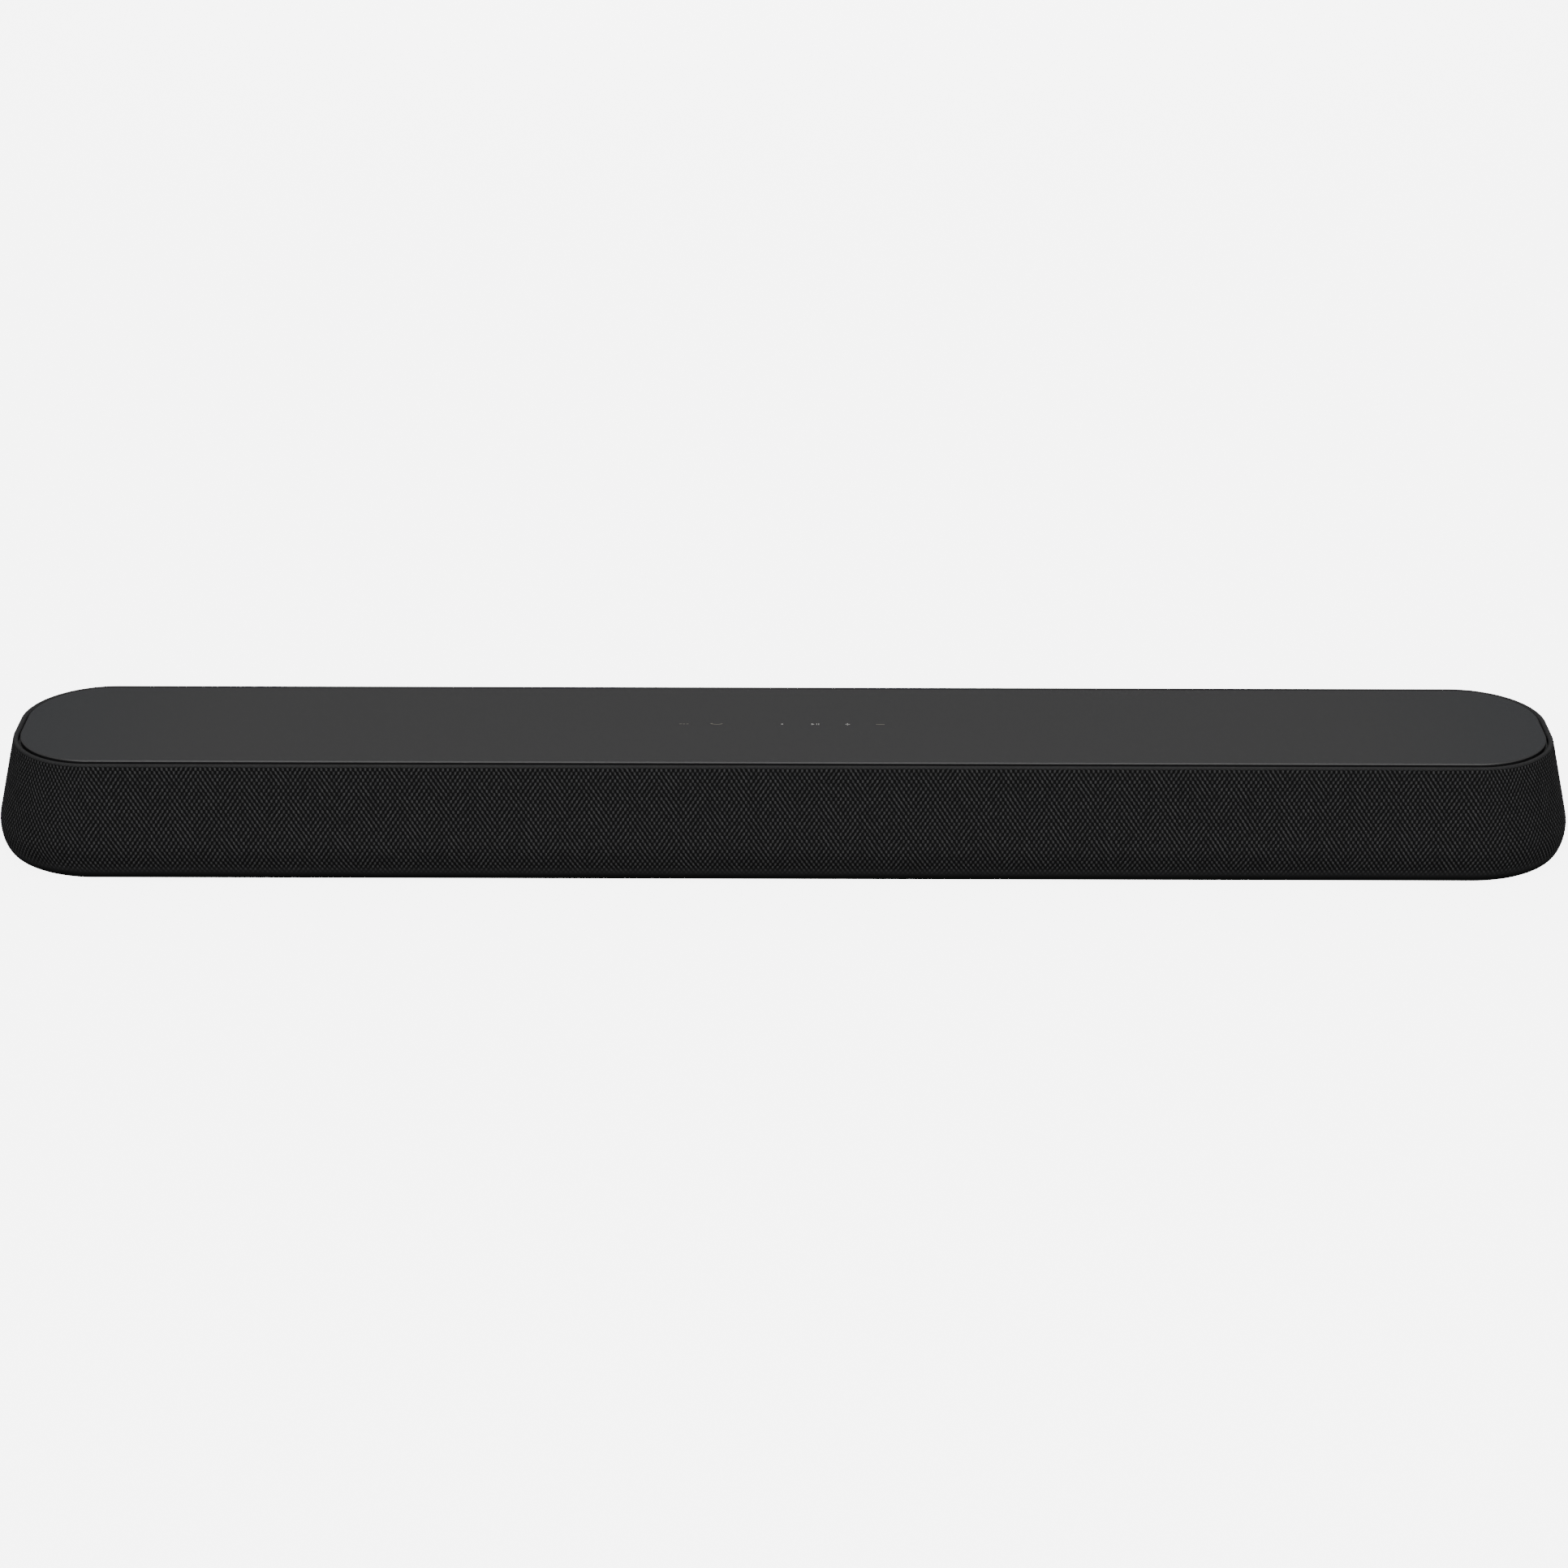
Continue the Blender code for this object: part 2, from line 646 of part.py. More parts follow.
def driver_holes():
    return (
        ("left_woofer_hole", -WOOFER_X, WOOFER_STRAIGHT, True),
        ("centre_driver_hole", 0.0, CENTRE_STRAIGHT, True),
        ("right_woofer_hole", WOOFER_X, WOOFER_STRAIGHT, True),
        ("left_radiator_hole", -RADIATOR_X, RADIATOR_STRAIGHT, False),
        ("right_radiator_hole", RADIATOR_X, RADIATOR_STRAIGHT, False),
    )


def four_corners(x, y):
    return [(sx * x, sy * y) for sx in (-1, 1) for sy in (-1, 1)]


def deck_screw_places():
    return four_corners(HALF_LENGTH - DECK_SCREW_FROM_END, HALF_DEPTH - DECK_SCREW_FROM_SIDE)


def base_screw_places():
    """On the tray's rim, half way between its edge and the cabinet's wall."""
    return four_corners(HALF_LENGTH - BASE_SCREW_FROM_END, HALF_DEPTH - (TRAY_RIM + CABINET_INSET) / 2)


def foot_places():
    return four_corners(HALF_LENGTH - FOOT_FROM_END, HALF_DEPTH - FOOT_FROM_SIDE)


def insert_places():
    x, y = HALF_LENGTH - INSERT_FROM_END, HALF_DEPTH - INSERT_FROM_SIDE
    return [(-x, y), (x, y)]


def standoff_places():
    x, y = POWER_BOARD_LENGTH / 2 - STANDOFF_MARGIN, POWER_BOARD_WIDTH / 2 - STANDOFF_MARGIN
    return [(POWER_BOARD_X + dx, dy) for dx, dy in four_corners(x, y)]


def tray_bores():
    """What is bored or sunk into the tray: screw heads, inserts, deck screws and foot recesses."""
    below = UNDERSIDE - SMALL_CUT
    form = bmesh.new()
    for place in base_screw_places():
        rod_form(form, place, SCREW_HEAD_RADIUS + TOUCH_GAP, below, UNDERSIDE + SCREW_HEAD + TOUCH_GAP)
    for place in insert_places():
        rod_form(form, place, INSERT_RADIUS + TOUCH_GAP, below, UNDERSIDE + INSERT_LENGTH + TOUCH_GAP, 16)
    for place in deck_screw_places():
        rod_form(form, place, SCREW_RADIUS + TOUCH_GAP, WALL_TOP - DECK_SCREW_LENGTH, WALL_TOP + SMALL_CUT)
    half_length, half_width = FOOT_LENGTH / 2 + TOUCH_GAP, FOOT_WIDTH / 2 + TOUCH_GAP
    recess_top = UNDERSIDE + FOOT_RECESS + TOUCH_GAP
    for x, y in foot_places():
        low = (x - half_length, y - half_width, below)
        high = (x + half_length, y + half_width, recess_top)
        box_form(form, low, high)
    mesh = bpy.data.meshes.new("tray_bores")
    form.to_mesh(mesh)
    form.free()
    return add_cutter("tray_bores", mesh)


def shank_bores(name, places, low, high):
    return add_cutter(name, rods(name, places, SCREW_RADIUS + TOUCH_GAP, low, high))


def screw_profile(head_radius, length):
    """A pan-head screw, head up and its seat at height 0, from the axis down its outer side."""
    point = SCREW_RADIUS * 0.6
    return [
        (0.0, SCREW_HEAD),
        (head_radius * 0.75, SCREW_HEAD),
        (head_radius, SCREW_HEAD * 0.55),
        (head_radius, 0.0),
        (SCREW_RADIUS, 0.0),
        (SCREW_RADIUS, -length + point),
        (point, -length),
        (0.0, -length),
    ]


def make_screws():
    """Base screws go up through the tray's rim into the frame, and deck screws down into the posts."""
    up = screw_profile(SCREW_HEAD_RADIUS, BASE_SCREW_LENGTH)
    for i, (x, y) in enumerate(base_screw_places(), 1):
        screw = add_turned(f"base_screw_{i}", up, ZINC_STEEL, steps=10)
        screw.location = (x, y, UNDERSIDE + SCREW_HEAD)
        screw.rotation_euler = (math.pi, 0.0, 0.0)
    down = screw_profile(SCREW_HEAD_RADIUS, DECK_SCREW_LENGTH - TOUCH_GAP)
    for i, (x, y) in enumerate(deck_screw_places(), 1):
        screw = add_turned(f"deck_screw_{i}", down, ZINC_STEEL, steps=10)
        screw.location = (x, y, DECK_TOP - SCREW_HEAD - TOUCH_GAP)


def make_feet_and_inserts():
    half_length, half_width = FOOT_LENGTH / 2, FOOT_WIDTH / 2
    corners = ((-half_length, -half_width, 0.0), (half_length, half_width, UNDERSIDE + FOOT_RECESS))
    for i, (x, y) in enumerate(foot_places(), 1):
        foot = add_object(f"foot_{i}", box(f"foot_{i}", corners), RUBBER)
        foot.location = (x, y, 0.0)
        round_edges(foot, FOOT_EDGE, 1)
    profile = [
        (INSERT_BORE, INSERT_LENGTH),
        (INSERT_RADIUS, INSERT_LENGTH),
        (INSERT_RADIUS, 0.0),
        (INSERT_BORE, 0.0),
    ]
    for side, (x, y) in zip(("left", "right"), insert_places()):
        insert = add_turned(f"{side}_bracket_insert", profile, BRASS, steps=16, ring=True)
        insert.location = (x, y, UNDERSIDE)


# ---------------------------------------------------------------- top
def make_top():
    """The touch plate, the deck under it, and the touch board and ribbon between them."""
    levels = [
        (PLATE_INSET, PLATE_UNDER),
        (PLATE_INSET, PLATE_TOP - PLATE_CHAMFER),
        (PLATE_INSET + PLATE_CHAMFER, PLATE_TOP),
    ]
    plate_mesh = loft("top_plate", [plan_ring(inset, z) for inset, z in levels])
    add_object("top_plate", plate_mesh, PLATE_PLASTIC)
    deck_inset = skin_inset(DECK_TOP) + SKIN_BACKING + FRAME_WALL + TOUCH_GAP
    deck_mesh = loft("top_deck", [plan_ring(deck_inset, z) for z in (DECK_UNDER, DECK_TOP)])
    deck = add_object("top_deck", deck_mesh, MOULDED_PLASTIC)
    half_length = TOUCH_BOARD_LENGTH / 2
    half_width = TOUCH_BOARD_WIDTH / 2
    board_top = PLATE_UNDER - TOUCH_GAP
    board_low = board_top - TOUCH_BOARD_THICKNESS
    board_corners = (
        (-half_length, TOUCH_BOARD_Y - half_width, board_low),
        (half_length, TOUCH_BOARD_Y + half_width, board_top),
    )
    add_object("touch_board", box("touch_board", board_corners), CIRCUIT_BOARD, smooth=False)
    gap = TOUCH_GAP
    pocket = (
        (board_corners[0][0] - gap, board_corners[0][1] - gap, board_low - gap),
        (board_corners[1][0] + gap, board_corners[1][1] + gap, TOP),
    )
    cut(deck, add_cutter("touch_pocket", box("touch_pocket", pocket)))
    slot_half = RIBBON_WIDTH / 2 + SLIDE_GAP
    slot_reach = RIBBON_THICKNESS / 2 + SLIDE_GAP
    slot_low = (-slot_half, TOUCH_BOARD_Y - slot_reach, DECK_UNDER - SMALL_CUT)
    slot_high = (slot_half, TOUCH_BOARD_Y + slot_reach, board_low)
    cut(deck, add_cutter("ribbon_slot", box("ribbon_slot", (slot_low, slot_high))))
    sink_low = DECK_TOP - SCREW_HEAD - 2 * TOUCH_GAP
    sink_radius = SCREW_HEAD_RADIUS + TOUCH_GAP
    sinks = rods("deck_sinks", deck_screw_places(), sink_radius, sink_low, DECK_TOP + SMALL_CUT)
    cut(deck, add_cutter("deck_sinks", sinks))
    cut(deck, shank_bores("deck_bores", deck_screw_places(), DECK_UNDER - SMALL_CUT, DECK_TOP))
    make_touch_ribbon(board_low - TOUCH_GAP)


def bend(y, z, start, turn, steps=3):
    """Points of a quarter bend of the ribbon about (y, z), from an angle through a turn."""
    angles = [start + turn * step / steps for step in range(steps + 1)]
    return [(y + RIBBON_BEND * math.cos(angle), z + RIBBON_BEND * math.sin(angle)) for angle in angles]


def make_touch_ribbon(top):
    """A flat lead from the touch board through the deck, back under it, and down the main board's face."""
    end_y = MAIN_BOARD_FRONT - TOUCH_GAP - RIBBON_THICKNESS
    run = DECK_UNDER - TOUCH_GAP - RIBBON_THICKNESS
    quarter = math.pi / 2
    path = [(TOUCH_BOARD_Y, top)]
    path += bend(TOUCH_BOARD_Y + RIBBON_BEND, run + RIBBON_BEND, math.pi, quarter)
    path += bend(end_y - RIBBON_BEND, run - RIBBON_BEND, quarter, -quarter)
    path.append((end_y, MAIN_BOARD_TOP - RIBBON_OVERLAP))
    half = RIBBON_WIDTH / 2
    form = bmesh.new()
    left = [form.verts.new((-half, y, z)) for y, z in path]
    right = [form.verts.new((half, y, z)) for y, z in path]
    for i in range(len(path) - 1):
        form.faces.new((left[i], left[i + 1], right[i + 1], right[i]))
    mesh = bpy.data.meshes.new("touch_ribbon")
    form.to_mesh(mesh)
    form.free()
    ribbon = add_object("touch_ribbon", mesh, RIBBON_FILM, smooth=False)
    thicken(ribbon, RIBBON_THICKNESS, 0.0)
    return ribbon


# ---------------------------------------------------------------- drivers
def surround_profile(straight, roll):
    """Rings of a half-roll surround from its outer lip to its inner lip, at the wall's inner face."""
    outer = CUP_MOUTH_RADIUS
    inner = outer - roll
    middle = (outer + inner) / 2
    level = SURROUND_WALL / 2
    rings = [(LIP_RADIUS, level), (outer, level)]
    for step in range(1, 4):
        turn = math.pi * step / 4
        rings.append((middle + roll / 2 * math.cos(turn), level + roll / 2 * math.sin(turn)))
    rings.append((inner, level))
    rings.append((inner - LIP_WIDTH / 2, level))
    return [racetrack_ring(straight, radius, z) for radius, z in rings]


def make_surround(name, straight, roll, parent):
    mesh = loft(name, surround_profile(straight, roll), start_cap=False, end_cap=False)
    surround = add_object(name, mesh, RUBBER, parent)
    thicken(surround, SURROUND_WALL, 0.0)
    return surround


def cone_radius(roll):
    return CUP_MOUTH_RADIUS - roll - CONE_INSET


def make_driver(name, x, straight, roll):
    """A moving-coil driver behind the front wall, on its own axis empty, whose +Z points to the front."""
    axis = axis_empty(name + "_axis", x, -BAFFLE_BACK, DRIVER_Z)
    flange = -TOUCH_GAP - FLANGE_WALL / 2
    back = flange - CUP_DEPTH
    rings = [
        racetrack_ring(straight, FLANGE_RADIUS, flange),
        racetrack_ring(straight, CUP_MOUTH_RADIUS, flange),
        racetrack_ring(straight * 0.9, CUP_MOUTH_RADIUS - CUP_TAPER, flange - CUP_DEPTH * 0.25),
        racetrack_ring(0.0, CUP_BACK_RADIUS, back),
        racetrack_ring(0.0, CUP_BACK_HOLE, back),
    ]
    basket = add_object(
        name + "_basket", loft(name + "_basket", rings, start_cap=False, end_cap=False), PAINTED_STEEL, axis
    )
    thicken(basket, FLANGE_WALL, 0.0)
    half_window = WINDOW_WIDTH / 2
    reach = (CUP_BACK_RADIUS + straight) * 0.45
    window_low, window_high = back + CUP_DEPTH * 0.22, back + CUP_DEPTH * 0.62
    corners = [
        ((x - half_window, -LONG_CUT, window_low), (x + half_window, LONG_CUT, window_high))
        for x in (-reach, reach)
    ]
    cut(basket, add_cutter(name + "_windows", box(name + "_windows", *corners), axis))

    rim = cone_radius(roll)
    neck = COIL_RADIUS + COIL_WALL / 2
    cone_rings = [
        racetrack_ring(straight, rim, 0.0),
        racetrack_ring(straight * 0.5, (rim + neck) / 2, -CONE_DEPTH * 0.62),
        racetrack_ring(0.0, neck, -CONE_DEPTH),
        racetrack_ring(0.0, neck * 0.6, -CONE_DEPTH + DUST_DOME * 0.7),
        racetrack_ring(0.0, neck * 0.2, -CONE_DEPTH + DUST_DOME),
    ]
    cone = add_object(name + "_cone", loft(name + "_cone", cone_rings, start_cap=False), CONE_PAPER, axis)
    thicken(cone, CONE_WALL, 0.0)

    make_surround(name + "_surround", straight, roll, axis)

    coil_top = -CONE_DEPTH - CONE_WALL - TOUCH_GAP
    outer = COIL_RADIUS + COIL_WALL / 2
    inner = COIL_RADIUS - COIL_WALL / 2
    coil_profile = [
        (inner, coil_top),
        (outer, coil_top),
        (outer, coil_top - COIL_LENGTH),
        (inner, coil_top - COIL_LENGTH),
    ]
    add_turned(name + "_coil", coil_profile, COPPER, axis, ring=True)

    ledge = back + FLANGE_WALL / 2 + TOUCH_GAP
    hub = outer + COIL_GAP
    wave = (SPIDER_RADIUS - hub) / SPIDER_WAVES
    top = ledge + SURROUND_WALL
    crests = [(SPIDER_RADIUS - wave * i, top + SPIDER_RISE * (i % 2)) for i in range(SPIDER_WAVES + 1)]
    spider_profile = list(reversed(crests)) + [(radius, z - SURROUND_WALL) for radius, z in crests]
    add_turned(name + "_spider", spider_profile, SPIDER_CLOTH, axis, ring=True)

    front = back - FLANGE_WALL / 2 - TOUCH_GAP
    pole = inner - COIL_GAP
    gap_outer = outer + COIL_GAP
    floor = front - MAGNET_DEPTH + MAGNET_BACK
    magnet_profile = [
        (0.0, front),
        (pole, front),
        (pole, floor),
        (gap_outer, floor),
        (gap_outer, front),
        (MAGNET_RADIUS, front),
        (MAGNET_RADIUS, front - MAGNET_DEPTH),
        (0.0, front - MAGNET_DEPTH),
    ]
    add_turned(name + "_magnet", magnet_profile, MAGNET_FERRITE, axis)


def make_radiator(name, x):
    """A passive radiator behind the rear wall: a weighted plate on a surround, in a flat frame."""
    axis = axis_empty(name + "_axis", x, BAFFLE_BACK, DRIVER_Z, faces_front=False)
    level = -TOUCH_GAP - FLANGE_WALL / 2
    rings = [
        racetrack_ring(RADIATOR_STRAIGHT, FLANGE_RADIUS, level),
        racetrack_ring(RADIATOR_STRAIGHT, CUP_MOUTH_RADIUS, level),
    ]
    frame = add_object(
        name + "_frame", loft(name + "_frame", rings, start_cap=False, end_cap=False), PAINTED_STEEL, axis
    )
    thicken(frame, FLANGE_WALL, 0.0)
    make_surround(name + "_surround", RADIATOR_STRAIGHT, WOOFER_ROLL, axis)
    rim = cone_radius(WOOFER_ROLL)
    half = RADIATOR_PLATE / 2
    plate_rings = [
        racetrack_ring(RADIATOR_STRAIGHT, rim * 0.5, -half - RADIATOR_WEIGHT),
        racetrack_ring(RADIATOR_STRAIGHT, rim * 0.6, -half),
        racetrack_ring(RADIATOR_STRAIGHT, rim, -half),
        racetrack_ring(RADIATOR_STRAIGHT, rim, half),
        racetrack_ring(RADIATOR_STRAIGHT, rim * 0.85, half + RADIATOR_CROWN),
    ]
    add_object(name + "_plate", loft(name + "_plate", plate_rings), CONE_PAPER, axis)


# ---------------------------------------------------------------- electronics
def socket_box(name, x, width, height, low_y, high_y, drop=0.0):
    """A box on a socket's axis, which runs along Y at the height of the sockets."""
    low = (x - width / 2, low_y, SOCKET_Z + drop - height / 2)
    high = (x + width / 2, high_y, SOCKET_Z + drop + height / 2)
    return box(name, (low, high))


def make_socket(name, x, size, mouth, tongue=None):
    """A board socket that faces the rear through the bay's floor, with an optional contact tongue."""
    back = MAIN_BOARD_BACK + TOUCH_GAP
    shell = add_object(name, socket_box(name, x, *size, back, SOCKET_FRONT), SOCKET_METAL, smooth=False)
    mouth_name, tongue_name = name + "_mouth", name + "_tongue"
    hollow = socket_box(mouth_name, x, *mouth, back + SOCKET_BACK_WALL, SOCKET_FRONT + SMALL_CUT)
    cut(shell, add_cutter(mouth_name, hollow))
    if tongue:
        width, height, drop = tongue
        low_y, high_y = back + SOCKET_BACK_WALL / 2, SOCKET_FRONT - TONGUE_SETBACK
        blade = socket_box(tongue_name, x, width, height, low_y, high_y, drop)
        cut(shell, add_cutter(tongue_name, blade), "UNION")
    return shell


def make_ac_inlet():
    """A two-pin mains inlet in the bay's floor."""
    back = SOCKET_FRONT - INLET_DEPTH
    body = socket_box("ac_inlet", INLET_X, *INLET_SIZE, back, SOCKET_FRONT)
    inlet = add_object("ac_inlet", body, BLACK_PLASTIC, smooth=False)
    axis = axis_empty("ac_inlet_axis", INLET_X, SOCKET_FRONT, SOCKET_Z, faces_front=False)
    mouth_width, mouth_height = INLET_MOUTH
    radius = mouth_height / 2
    floor = INLET_BACK_WALL - INLET_DEPTH
    rings = [racetrack_ring(mouth_width / 2 - radius, radius, z) for z in (floor, SMALL_CUT)]
    cut(inlet, add_cutter("ac_inlet_mouth", loft("ac_inlet_mouth", rings), axis))
    places = [(-INLET_PIN_SPACING / 2, 0.0), (INLET_PIN_SPACING / 2, 0.0)]
    pins = rods("ac_inlet_pins", places, INLET_PIN_RADIUS, floor - INLET_BACK_WALL / 2, -INLET_PIN_SETBACK)
    cut(inlet, add_cutter("ac_inlet_pins", pins, axis), "UNION")
    return inlet


def make_main_board():
    """The upright board before the bay: sockets at its rear, and a module and heat sink at its front."""
    corners = (
        (MAIN_BOARD_LEFT, MAIN_BOARD_FRONT, MAIN_BOARD_BOTTOM),
        (MAIN_BOARD_RIGHT, MAIN_BOARD_BACK, MAIN_BOARD_TOP),
    )
    add_object("main_board", box("main_board", corners), CIRCUIT_BOARD, smooth=False)
    make_socket("hdmi_socket", HDMI_X, HDMI_SIZE, HDMI_MOUTH, HDMI_TONGUE)
    make_socket("optical_socket", OPTICAL_X, OPTICAL_SIZE, OPTICAL_MOUTH)
    make_socket("usb_socket", USB_X, USB_SIZE, USB_MOUTH, USB_TONGUE)
    make_ac_inlet()

    face = MAIN_BOARD_FRONT - TOUCH_GAP
    middle = (MAIN_BOARD_BOTTOM + MAIN_BOARD_TOP) / 2
    width, depth, height = MODULE_SIZE
    module_low = (MODULE_X - width / 2, face - depth, middle)
    module_high = (MODULE_X + width / 2, face, middle + height)
    module_mesh = box("wireless_module", (module_low, module_high))
    add_object("wireless_module", module_mesh, SOCKET_METAL, smooth=False)

    left, right = SINK_X - SINK_LENGTH / 2, SINK_X + SINK_LENGTH / 2
    low, high = middle - SINK_HEIGHT / 2, middle + SINK_HEIGHT / 2
    back_plate = box("heat_sink", ((left, face - SINK_BASE, low), (right, face, high)))
    sink = add_object("heat_sink", back_plate, ALUMINIUM, smooth=False)
    pitch = (SINK_HEIGHT - FIN_WALL) / (FIN_COUNT - 1)
    fins = []
    for i in range(FIN_COUNT):
        z = low + pitch * i
        fins.append(((left, face - SINK_DEPTH, z), (right, face - SINK_BASE / 2, z + FIN_WALL)))
    cut(sink, add_cutter("heat_sink_fins", box("heat_sink_fins", *fins)), "UNION")


def make_power_board():
    """The supply board on its standoffs, with a transformer and a filter capacitor."""
    half_length, half_width = POWER_BOARD_LENGTH / 2, POWER_BOARD_WIDTH / 2
    corners = (
        (POWER_BOARD_X - half_length, -half_width, POWER_BOARD_Z),
        (POWER_BOARD_X + half_length, half_width, POWER_BOARD_TOP),
    )
    add_object("power_board", box("power_board", corners), CIRCUIT_BOARD, smooth=False)
    seat = POWER_BOARD_TOP + TOUCH_GAP
    length, width, height = TRANSFORMER_SIZE
    core_low = (POWER_BOARD_X - length / 2, TRANSFORMER_Y - width / 2, seat)
    core_high = (POWER_BOARD_X + length / 2, TRANSFORMER_Y + width / 2, seat + height)
    core_mesh = box("transformer", (core_low, core_high))
    transformer = add_object("transformer", core_mesh, MAGNET_FERRITE, smooth=False)
    reach = length / 2 + WINDING_PROUD
    winding = add_cutter("winding", rods("winding", [(0.0, 0.0)], WINDING_RADIUS, -reach, reach))
    winding.rotation_euler = (0.0, math.pi / 2, 0.0)
    winding.location = (POWER_BOARD_X, TRANSFORMER_Y, seat + height / 2)
    cut(transformer, winding, "UNION")
    place = (POWER_BOARD_X + half_length - CAPACITOR_FROM_END, CAPACITOR_Y)
    can = rods("filter_capacitor", [place], CAPACITOR_RADIUS, seat, seat + CAPACITOR_HEIGHT, 16)
    add_object("filter_capacitor", can, BLACK_PLASTIC)


def make_lead(name, points, radius, material):
    """A round lead along its route, clipped to the cabinet's floor."""
    curve = bpy.data.curves.new(name, "CURVE")
    curve.dimensions = "3D"
    curve.bevel_depth = radius
    curve.bevel_resolution = 2
    curve.use_fill_caps = True
    smooth = smooth_route([Vector(point) for point in points])
    spline = curve.splines.new("POLY")
    spline.points.add(len(smooth) - 1)
    for point, place in zip(spline.points, smooth):
        point.co = (*place, 1.0)
    curve.materials.append(material)
    lead = bpy.data.objects.new(name, curve)
    PARTS.objects.link(lead)
    return lead


def smooth_route(points, steps=3):
    """Points along a smooth curve through the route's own points."""
    padded = [points[0] * 2 - points[1], *points, points[-1] * 2 - points[-2]]
    route = []
    for i in range(1, len(padded) - 2):
        before, start, end, after = padded[i - 1 : i + 3]
        for step in range(steps):
            t = step / steps
            route.append(
                0.5
                * (
                    2 * start
                    + (end - before) * t
                    + (2 * before - 5 * start + 4 * end - after) * t**2
                    + (3 * start - before - 3 * end + after) * t**3
                )
            )
    route.append(points[-1])
    return route


def make_leads():
    """Speaker leads along the floor through the ribs' notches, and the mains lead to the power board."""
    floor = FLOOR_TOP + LEAD_RADIUS + LEAD_LIFT
    face = MAIN_BOARD_FRONT - TOUCH_GAP - LEAD_RADIUS
    cup_back = CUP_DEPTH - BAFFLE_BACK + 0.004
    for side, start in ((-1, MAIN_BOARD_LEFT + 0.010), (1, MAIN_BOARD_RIGHT - 0.004)):
        name = "left_speaker_lead" if side < 0 else "right_speaker_lead"
        cup = side * (WOOFER_X - CUP_BACK_RADIUS - 0.006)
        route = [
            (start, face, floor + 0.016),
            (start + side * 0.004, face - 0.004, floor + 0.004),
            (start + side * 0.024, LEAD_Y + 0.001, floor),
            (side * PARTITION_X * 0.8, LEAD_Y, floor),
            (side * (PARTITION_X + 0.020), LEAD_Y, floor),
            (cup - side * 0.022, 0.0, floor),
            (cup, cup_back + 0.006, floor + 0.006),
            (cup + side * 0.001, cup_back, floor + 0.014),
        ]
        make_lead(name, route, LEAD_RADIUS, LEAD_PVC)
    inlet_back = SOCKET_FRONT - INLET_DEPTH
    board_end = POWER_BOARD_X - POWER_BOARD_LENGTH / 2
    seat = POWER_BOARD_TOP + TOUCH_GAP
    route = [
        (INLET_X, inlet_back - TOUCH_GAP, SOCKET_Z - 0.004),
        (INLET_X + 0.001, inlet_back - 0.006, SOCKET_Z - 0.005),
        (INLET_X + 0.008, inlet_back - 0.012, SOCKET_Z - 0.012),
        (board_end - 0.015, inlet_back - 0.010, seat + 0.010),
        (board_end + 0.008, inlet_back - 0.008, seat + 0.005),
        (board_end + 0.010, inlet_back - 0.008, seat),
    ]
    make_lead("mains_lead", route, MAINS_RADIUS, LEAD_PVC)


# ---------------------------------------------------------------- build
clear_scene()
PARTS = new_collection("soundbar")
CUTTERS = new_collection("cutters")

PLATE_PLASTIC = make_material("plate_plastic", (0.048, 0.048, 0.049), 0.55)
FABRIC_KNIT = make_material("fabric_knit", (0.022, 0.022, 0.023), 0.95)
MOULDED_PLASTIC = make_material("moulded_plastic", (0.015, 0.015, 0.016), 0.6)
BLACK_PLASTIC = make_material("black_plastic", (0.012, 0.012, 0.013), 0.5)
RUBBER = make_material("rubber", (0.02, 0.02, 0.02), 0.85)
PAINTED_STEEL = make_material("painted_steel", (0.03, 0.03, 0.032), 0.45, 0.3)
CONE_PAPER = make_material("cone_paper", (0.05, 0.05, 0.052), 0.8)
SPIDER_CLOTH = make_material("spider_cloth", (0.45, 0.3, 0.12), 0.9)
COPPER = make_material("copper", (0.72, 0.33, 0.18), 0.35, 1.0)
MAGNET_FERRITE = make_material("magnet_ferrite", (0.09, 0.09, 0.095), 0.55, 0.4)
ZINC_STEEL = make_material("zinc_steel", (0.08, 0.08, 0.085), 0.4, 0.9)
BRASS = make_material("brass", (0.78, 0.58, 0.26), 0.3, 1.0)
ALUMINIUM = make_material("aluminium", (0.75, 0.76, 0.77), 0.4, 1.0)
CIRCUIT_BOARD = make_material("circuit_board", (0.02, 0.09, 0.04), 0.45)
SOCKET_METAL = make_material("socket_metal", (0.62, 0.62, 0.63), 0.3, 1.0)
RIBBON_FILM = make_material("ribbon_film", (0.6, 0.38, 0.12), 0.4)
LEAD_PVC = make_material("lead_pvc", (0.03, 0.03, 0.03), 0.6)

make_fabric_sleeve()
make_grille_frame()
make_rear_bay()
make_base_tray()
make_top()
make_driver("left_woofer", -WOOFER_X, WOOFER_STRAIGHT, WOOFER_ROLL)
make_driver("centre_driver", 0.0, CENTRE_STRAIGHT, CENTRE_ROLL)
make_driver("right_woofer", WOOFER_X, WOOFER_STRAIGHT, WOOFER_ROLL)
make_radiator("left_radiator", -RADIATOR_X)
make_radiator("right_radiator", RADIATOR_X)
make_main_board()
make_power_board()
make_leads()
make_feet_and_inserts()
make_screws()
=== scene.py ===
"""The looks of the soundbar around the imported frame: knit skin, touch plate, rear bay, feet and finishes.

Metres, +Z up. The front faces -Y. Run as a script, it adds every piece in order. Each piece or group of like
pieces has its own operator, and the panel in the 3D view's sidebar lists them with the sizes and colours.
"""

import json
import math
from contextlib import contextmanager
from functools import cache, cached_property

import bpy
import numpy as np
from mathutils import Matrix, Vector


